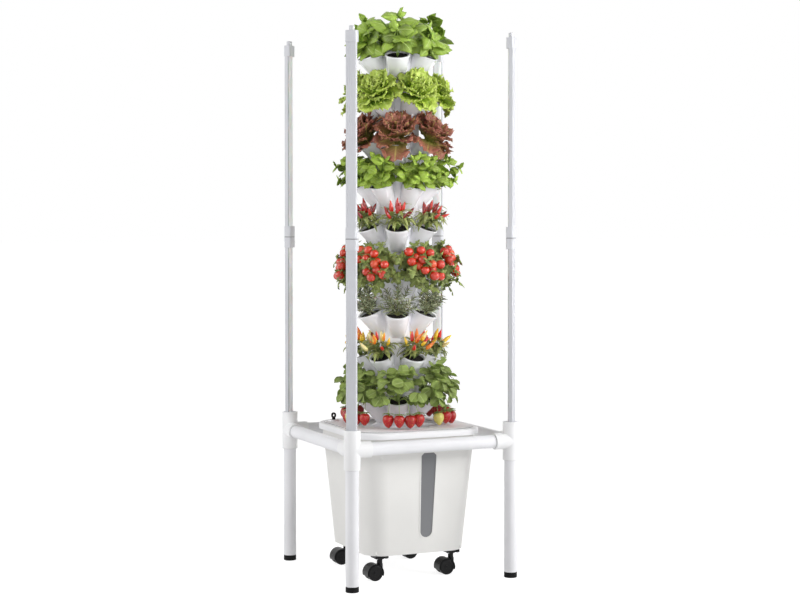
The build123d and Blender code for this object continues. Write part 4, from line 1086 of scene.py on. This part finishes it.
class TOWER_OT_grow_tomato(Operator):
    """Grow the cherry tomatoes of the sixth tier"""
    bl_idname = "tower.grow_tomato"
    bl_label = "Grow cherry tomatoes"
    bl_options = {"REGISTER", "UNDO"}

    def execute(self, context):
        sizes = context.scene.tower_sizes
        planting = context.scene.tower_planting
        leaves, stems, fruit = [], [], []
        # Each shoot: its turn and rise in degrees and its length in mm
        shoots = ((-60, 34, 84), (60, 34, 84), (-24, 62, 92), (24, 62, 92), (0, 20, 96), (-36, 0, 100),
                  (36, -4, 100), (180, 80, 60), (-12, -24, 96), (62, -12, 84), (-62, -16, 88), (16, -40, 84))
        # Each truss: the top of its arch and its lower end in mm, and how many tomatoes it bears
        trusses = (((46, -32, 72), (64, -34, 4), 4), ((60, 3, 80), (92, 5, -26), 6),
                   ((64, 38, 36), (80, 38, -22), 4))
        for _, place, rng in planted_pots(sizes, 6, "tomato", leaves, stems, fruit):
            for turn, rise, length in shoots:
                line = straight_shoot(turn, rise, length, rng, 14.0)
                leafy_shoot(leaves[-1], stems[-1], place, "tomato", line, (50, 30), 4, 90, rng, sizes,
                            -70, (-40, 20), 0.2)
            for hook, end, count in trusses:
                hook, end = Vector(hook), Vector(end)
                add_tube(stems[-1], place, arch((0, 0, -6), hook, 16), [1.8] * 6)
                line = arch(hook, end, 6, 4)
                add_tube(stems[-1], place, line, (1.7, 1.5, 1.4, 1.3, 1.1))
                for number in range(count):
                    share = (number + 0.4) / count
                    self.hang_fruit(leaves[-1], stems[-1], fruit[-1], place, line, share, number, rng)
        base = planting.tomato_leaf
        leaf = leaf_blade("tomato_leaf", base, shaded(base, 0.22), mixed(base, linear("#C9D79A"), 0.5),
                          shaded(base, 0.9), 7, 0.5, bulge=0.7)
        finish_plants("cherry_tomato", "tomato_leaves", leaves, leaf, sizes.leaf_thickness)
        stem = green_stem("tomato_stem", linear("#9DB56A"), linear("#6B8845"))
        finish_plants("cherry_tomato", "tomato_stems", stems, stem)
        ripe = planting.tomato
        stops = [(0.0, mixed(ripe, linear("#E8662E"), 0.7)), (0.4, ripe), (1.0, shaded(ripe, 0.85))]
        finish_plants("cherry_tomato", "cherry_tomatoes", fruit, ripe_skin("tomato_skin", stops, 0.18))
        return {"FINISHED"}

    @staticmethod
    def hang_fruit(leaves, stems, fruit, place, line, share, number, rng):
        """A tomato on a short stalk, to the left or the right of the truss by turns."""
        layer = fruit.verts.layers.float["tint"]
        node = along(line, share)
        size = rng.uniform(13.4, 16.0)
        side = 14 if number % 2 else -14
        middle = node + Vector((rng.uniform(-2, 9), side + rng.uniform(-4, 4), rng.uniform(-9, 1)))
        made = bmesh.ops.create_uvsphere(
            fruit, u_segments=18, v_segments=12, radius=size,
            matrix=place @ Matrix.Translation(middle) @ Matrix.Diagonal((1.0, 1.0, 0.95, 1.0)))
        tint = rng.random()
        for vert in made["verts"]:
            vert[layer] = tint
        top = middle + Vector((0, 0, 0.92 * size))
        add_tube(stems, place, arch(node, top, 8, 3), (1.1, 1.0, 1.0, 1.2))
        for petal in range(5):
            spot = place @ set_at(top, 72 * petal + 10 * number, 10)
            add_blade(leaves, spot, FORMS["sepal"], 14, 3.6, -40, 0.8, rng)


class TOWER_OT_grow_rosemary(Operator):
    """Grow the rosemary of the seventh tier"""
    bl_idname = "tower.grow_rosemary"
    bl_label = "Grow rosemary"
    bl_options = {"REGISTER", "UNDO"}

    def execute(self, context):
        sizes = context.scene.tower_sizes
        planting = context.scene.tower_planting
        needles, stems = [], []
        # Each sprig: its turn and rise in degrees and its length in mm
        sprigs = ((0, 82, 112), (-56, 62, 94), (56, 62, 94), (0, 58, 98), (-80, 46, 82), (80, 46, 82),
                  (-30, 40, 78), (32, 36, 78), (-70, 24, 70), (70, 22, 70))
        for _, place, rng in planted_pots(sizes, 7, "rosemary", needles, stems):
            for turn, rise, length in sprigs:
                line = straight_shoot(turn, rise, length, rng, 3.0)
                add_tube(stems[-1], place, line, [1.6 - 0.2 * step for step in range(len(line))])
                self.add_needles(needles[-1], place, line, int(length / 2.9), rng, sizes)
        base = planting.rosemary
        # The dark and the pale stops on random needles are painted shade and painted highlight round the
        # needle's own colour
        stops = [(0.0, shaded(base, 0.2)), (0.55, shaded(base, 0.7)),
                 (1.0, mixed(base, linear("#E2E8C4"), 0.75))]
        needle = ripe_skin("rosemary_needle", stops, 0.6)
        finish_plants("rosemary", "rosemary_needles", needles, needle)
        stem = green_stem("rosemary_stem", linear("#ACB27C"), linear("#8A8F58"))
        finish_plants("rosemary", "rosemary_stems", stems, stem)
        return {"FINISHED"}

    @staticmethod
    def add_needles(mesh, place, line, steps, rng, sizes):
        """Slim needles in a spiral round a sprig."""
        layer = mesh.verts.layers.float["tint"]
        for step in range(steps):
            share = 0.16 + 0.84 * step / steps
            base = along(line, share)
            ahead = (along(line, min(1.0, share + 0.05)) - along(line, share - 0.05)).normalized()
            aside = Matrix.Rotation(2.4 * step, 3, ahead) @ ahead.orthogonal().normalized()
            way = (aside + ahead * rng.uniform(0.35, 1.0)).normalized()
            size = rng.uniform(20, 29) * (1.0 - 0.45 * share * share)
            turn = way.to_track_quat("Z", "Y").to_matrix().to_4x4()
            made = bmesh.ops.create_cone(
                mesh, cap_ends=True, segments=4, radius1=1.8, radius2=0.7, depth=size,
                matrix=place @ Matrix.Translation(base + way * size / 2) @ turn)
            tint = rng.random()
            for vert in made["verts"]:
                vert[layer] = tint
                vert.co = clear_of_tower(sizes, vert.co)


# Distance from the stalk and radius in mm, along a strawberry
BERRY_PROFILE = ((0, 6.0), (1.5, 11.0), (5, 15.2), (11, 17.6), (18, 17.4), (25, 15.2), (31, 11.8), (36, 7.6),
                 (39.5, 3.6), (40.5, 0.8))


class TOWER_OT_grow_strawberry(Operator):
    """Grow the strawberries of the lowest tier"""
    bl_idname = "tower.grow_strawberry"
    bl_label = "Grow strawberries"
    bl_options = {"REGISTER", "UNDO"}

    def execute(self, context):
        sizes = context.scene.tower_sizes
        planting = context.scene.tower_planting
        leaves, stems, berries = [], [], []
        # Each stalk: its turn and rise in degrees, its length in mm and the rise of its leaflets
        stalks = ((0, 66, 112, 4), (-40, 60, 106, -4), (40, 60, 106, -4), (-22, 40, 100, -14),
                  (22, 36, 100, -18), (-66, 48, 80, -4), (66, 48, 80, -4), (-36, 8, 84, -34),
                  (-50, 24, 88, -26), (50, 16, 88, -30), (-14, 54, 84, -10), (30, 70, 90, 0),
                  (-74, 14, 62, -38), (74, 10, 60, -40), (4, 32, 92, -16),
                  (-30, 30, 76, -24), (34, 48, 76, -14))
        # Each berry: how far out and how far aside of the mouth it hangs, in mm
        hung = ((64, -30), (74, 6), (72, 40), (56, 68))
        for pot, place, rng in planted_pots(sizes, 9, "strawberry", leaves, stems, berries):
            for turn, rise, length, lean in stalks:
                line = straight_shoot(turn, rise, length, rng, 6.0)
                add_tube(stems[-1], place, line, [1.4 - 0.1 * step for step in range(len(line))])
                for side in (-88, 0, 88):
                    size = rng.uniform(0.86, 1.12)
                    way = heading(turn + side + rng.uniform(-14, 14), lean + rng.uniform(-16, 16))
                    face = light_from(rng) + Vector((0, rng.uniform(-0.5, 0.5), rng.uniform(-0.2, 0.6)))
                    add_blade(leaves[-1], place @ leaf_at(line[-1], way, face), FORMS["strawberry"],
                              42 * size, 38 * size, rng.uniform(-50, 15), rng.random(), rng, sizes)
            for number, (out, aside) in enumerate(hung):
                hook = Vector((0.8 * out, 0.8 * aside, 4 + rng.uniform(-4, 4)))
                low = Vector((out, aside, -43.0 + rng.uniform(0, 4)))
                add_tube(stems[-1], place, arch((0, 0, -6), hook, 8), [1.1] * 6)
                add_tube(stems[-1], place, arch(hook, low, 0, 3), [0.9] * 4)
                tint = 0.05 if (pot + 2 * number) % 9 == 5 else rng.uniform(0.25, 1.0)
                hang = place @ set_at(low, rng.uniform(0, 360), -86 + rng.uniform(-6, 6))
                self.add_berry(leaves[-1], berries[-1], hang, rng.uniform(0.98, 1.07), tint, rng)
        base = planting.strawberry_leaf
        leaf = leaf_blade("strawberry_leaf", base, shaded(base, 0.38), mixed(base, linear("#D6E3A8"), 0.5),
                          shaded(base, 0.95), 9, 0.46, bulge=0.6)
        finish_plants("strawberry", "strawberry_leaves", leaves, leaf, sizes.leaf_thickness)
        stem = green_stem("strawberry_stem", linear("#B4C47A"), linear("#86A04F"))
        finish_plants("strawberry", "strawberry_stems", stems, stem)
        skin = seeded_skin("strawberry_skin", planting.strawberry)
        finish_plants("strawberry", "strawberries", berries, skin)
        return {"FINISHED"}

    @staticmethod
    def add_berry(leaves, berries, hang, size, tint, rng):
        """A berry along +X of hang, under its collar of sepals."""
        points = [(size * x, 0, 0) for x, _ in BERRY_PROFILE]
        add_tube(berries, hang, points, [size * radius for _, radius in BERRY_PROFILE], 16, tint)
        for petal in range(9):
            turn = hang @ Matrix.Rotation(petal * TAU / 9, 4, "X")
            spot = turn @ set_at((-2.0, 0, 0), 0, 102 + rng.uniform(-8, 14))
            add_blade(leaves, spot, FORMS["sepal"], 20 * size, 7.5, -34, 0.6, rng)


# The camera's place on the floor in metres, its tilt and turn in degrees, and its film
CAMERA_PLACE = (-2.3205, -5.2315)
CAMERA_TILT, CAMERA_TURN = 88.568, -24.0
SENSOR_WIDTH, CAMERA_SHIFT = 36.0, -0.055
FLOOR_SIZE = 60.0

# Each lamp: its name, its place and its aim in metres, its size in metres and its spread in degrees
LAMPS = (
    ("key_softbox", (3.0, -2.6, 1.9), (0.0, 0.0, 1.0), 1.6, 180.0),
    ("fill_softbox", (-3.4, 0.6, 1.9), (0.0, 0.0, 0.9), 1.8, 180.0),
    ("tower_softbox", (0.7, -3.9, 2.3), (0.0, 0.0, 1.35), 1.0, 32.0),
    ("low_softbox", (-1.4, -4.2, 0.7), (0.0, 0.0, 1.3), 1.0, 32.0),
)


class TOWER_OT_set_stage(Operator):
    """Set the floor, the light and the camera"""
    bl_idname = "tower.set_stage"
    bl_label = "Set the stage"
    bl_options = {"REGISTER", "UNDO"}

    def execute(self, context):
        scene = context.scene
        stage = scene.tower_stage
        mesh = bmesh.new()
        bmesh.ops.create_grid(mesh, x_segments=2, y_segments=2, size=FLOOR_SIZE)
        data = bpy.data.meshes.new("floor")
        mesh.to_mesh(data)
        mesh.free()
        floor = bpy.data.objects.new("floor", data)
        scene.collection.objects.link(floor)
        data.materials.append(self.studio_floor())
        self.light_sky(scene, stage.sky_strength)
        for lamp, watts in zip(LAMPS, (stage.key_power, stage.fill_power, stage.top_power, stage.low_power)):
            self.add_lamp(*lamp, watts)
        lens = bpy.data.cameras.new("camera")
        lens.lens = stage.camera_lens
        lens.sensor_width = SENSOR_WIDTH
        lens.shift_y = CAMERA_SHIFT
        camera = bpy.data.objects.new("camera", lens)
        camera.location = (*CAMERA_PLACE, stage.camera_height)
        camera.rotation_euler = (math.radians(CAMERA_TILT), 0.0, math.radians(CAMERA_TURN))
        scene.collection.objects.link(camera)
        scene.camera = camera
        scene.view_settings.view_transform = "Standard"
        return {"FINISHED"}

    @staticmethod
    def seen_straight(tree):
        """1 for rays that show the background, 0 for those that light the object."""
        path = add_node(tree, "ShaderNodeLightPath")
        clear = add_node(tree, "ShaderNodeMath", {"operation": "MAXIMUM"}, {
            0: path.outputs["Is Camera Ray"], 1: path.outputs["Is Transmission Ray"]})
        return add_node(tree, "ShaderNodeMath", {"operation": "MAXIMUM"}, {
            0: clear.outputs["Value"], 1: path.outputs["Is Glossy Ray"]}).outputs["Value"]

    def studio_floor(self):
        """White studio floor: it shows white, and keeps a soft shadow."""
        made, tree = start_material("studio_floor")
        matt = add_node(tree, "ShaderNodeBsdfDiffuse", inputs={"Color": linear("#B4B4B4")})
        glow = add_node(tree, "ShaderNodeEmission", inputs={"Color": linear("#FFFFFF"), "Strength": 0.83})
        both = add_node(tree, "ShaderNodeAddShader", inputs={
            0: matt.outputs["BSDF"], 1: glow.outputs["Emission"]})
        bounce = add_node(tree, "ShaderNodeBsdfDiffuse", inputs={"Color": linear("#E4E4E4")})
        final = add_node(tree, "ShaderNodeMixShader", inputs={
            0: self.seen_straight(tree), 1: bounce.outputs["BSDF"], 2: both.outputs["Shader"]})
        add_node(tree, "ShaderNodeOutputMaterial", inputs={"Surface": final.outputs["Shader"]})
        return made

    def light_sky(self, scene, strength):
        """Even light on the object, with white where the background shows."""
        world = bpy.data.worlds.new("studio")
        world.use_nodes = True
        tree = world.node_tree
        tree.nodes.clear()
        even = add_node(tree, "ShaderNodeBackground", inputs={
            "Color": linear("#FFFFFF"), "Strength": strength})
        white = add_node(tree, "ShaderNodeBackground", inputs={"Color": linear("#FFFFFF"), "Strength": 1.0})
        final = add_node(tree, "ShaderNodeMixShader", inputs={
            0: self.seen_straight(tree), 1: even.outputs["Background"], 2: white.outputs["Background"]})
        add_node(tree, "ShaderNodeOutputWorld", inputs={"Surface": final.outputs["Shader"]})
        scene.world = world

    @staticmethod
    def add_lamp(name, location, target, size, spread, watts):
        """A square soft light that looks at target."""
        lamp = bpy.data.lights.new(name, "AREA")
        lamp.size = size
        lamp.spread = math.radians(spread)
        lamp.energy = watts
        placed = bpy.data.objects.new(name, lamp)
        placed.location = location
        aim = Vector(target) - Vector(location)
        placed.rotation_euler = aim.to_track_quat("-Z", "Y").to_euler()
        bpy.context.scene.collection.objects.link(placed)


OPERATORS = (
    TOWER_OT_finish_frame, TOWER_OT_finish_tank, TOWER_OT_finish_tiers, TOWER_OT_fill_pots,
    TOWER_OT_grow_basil, TOWER_OT_grow_green_lettuce, TOWER_OT_grow_red_lettuce,
    TOWER_OT_grow_mint, TOWER_OT_grow_red_chilli,
    TOWER_OT_grow_tomato, TOWER_OT_grow_rosemary, TOWER_OT_grow_mixed_chilli, TOWER_OT_grow_strawberry,
    TOWER_OT_set_stage,
)
GROUPS = {"tower_sizes": TowerSizes, "tower_finishes": TowerFinishes, "tower_planting": TowerPlanting,
          "tower_stage": TowerStage}


class TOWER_PT_panel(Panel):
    """Sizes, colours and steps of the hydroponic tower"""
    bl_idname = "TOWER_PT_panel"
    bl_label = "Hydroponic tower"
    bl_space_type = "VIEW_3D"
    bl_region_type = "UI"
    bl_category = "Tower"

    def draw(self, context):
        for group in GROUPS:
            box = self.layout.box()
            settings = getattr(context.scene, group)
            for name in settings.bl_rna.properties.keys():
                if name not in ("rna_type", "name"):
                    box.prop(settings, name)
        for operator in OPERATORS:
            self.layout.operator(operator.bl_idname)


def register():
    for kind in (*GROUPS.values(), *OPERATORS, TOWER_PT_panel):
        bpy.utils.register_class(kind)
    for name, group in GROUPS.items():
        setattr(bpy.types.Scene, name, PointerProperty(type=group))


def unregister():
    for name in GROUPS:
        delattr(bpy.types.Scene, name)
    for kind in reversed((*GROUPS.values(), *OPERATORS, TOWER_PT_panel)):
        bpy.utils.unregister_class(kind)


def main():
    register()
    for operator in OPERATORS:
        group, name = operator.bl_idname.split(".")
        getattr(getattr(bpy.ops, group), name)()


if __name__ == "__main__":
    main()
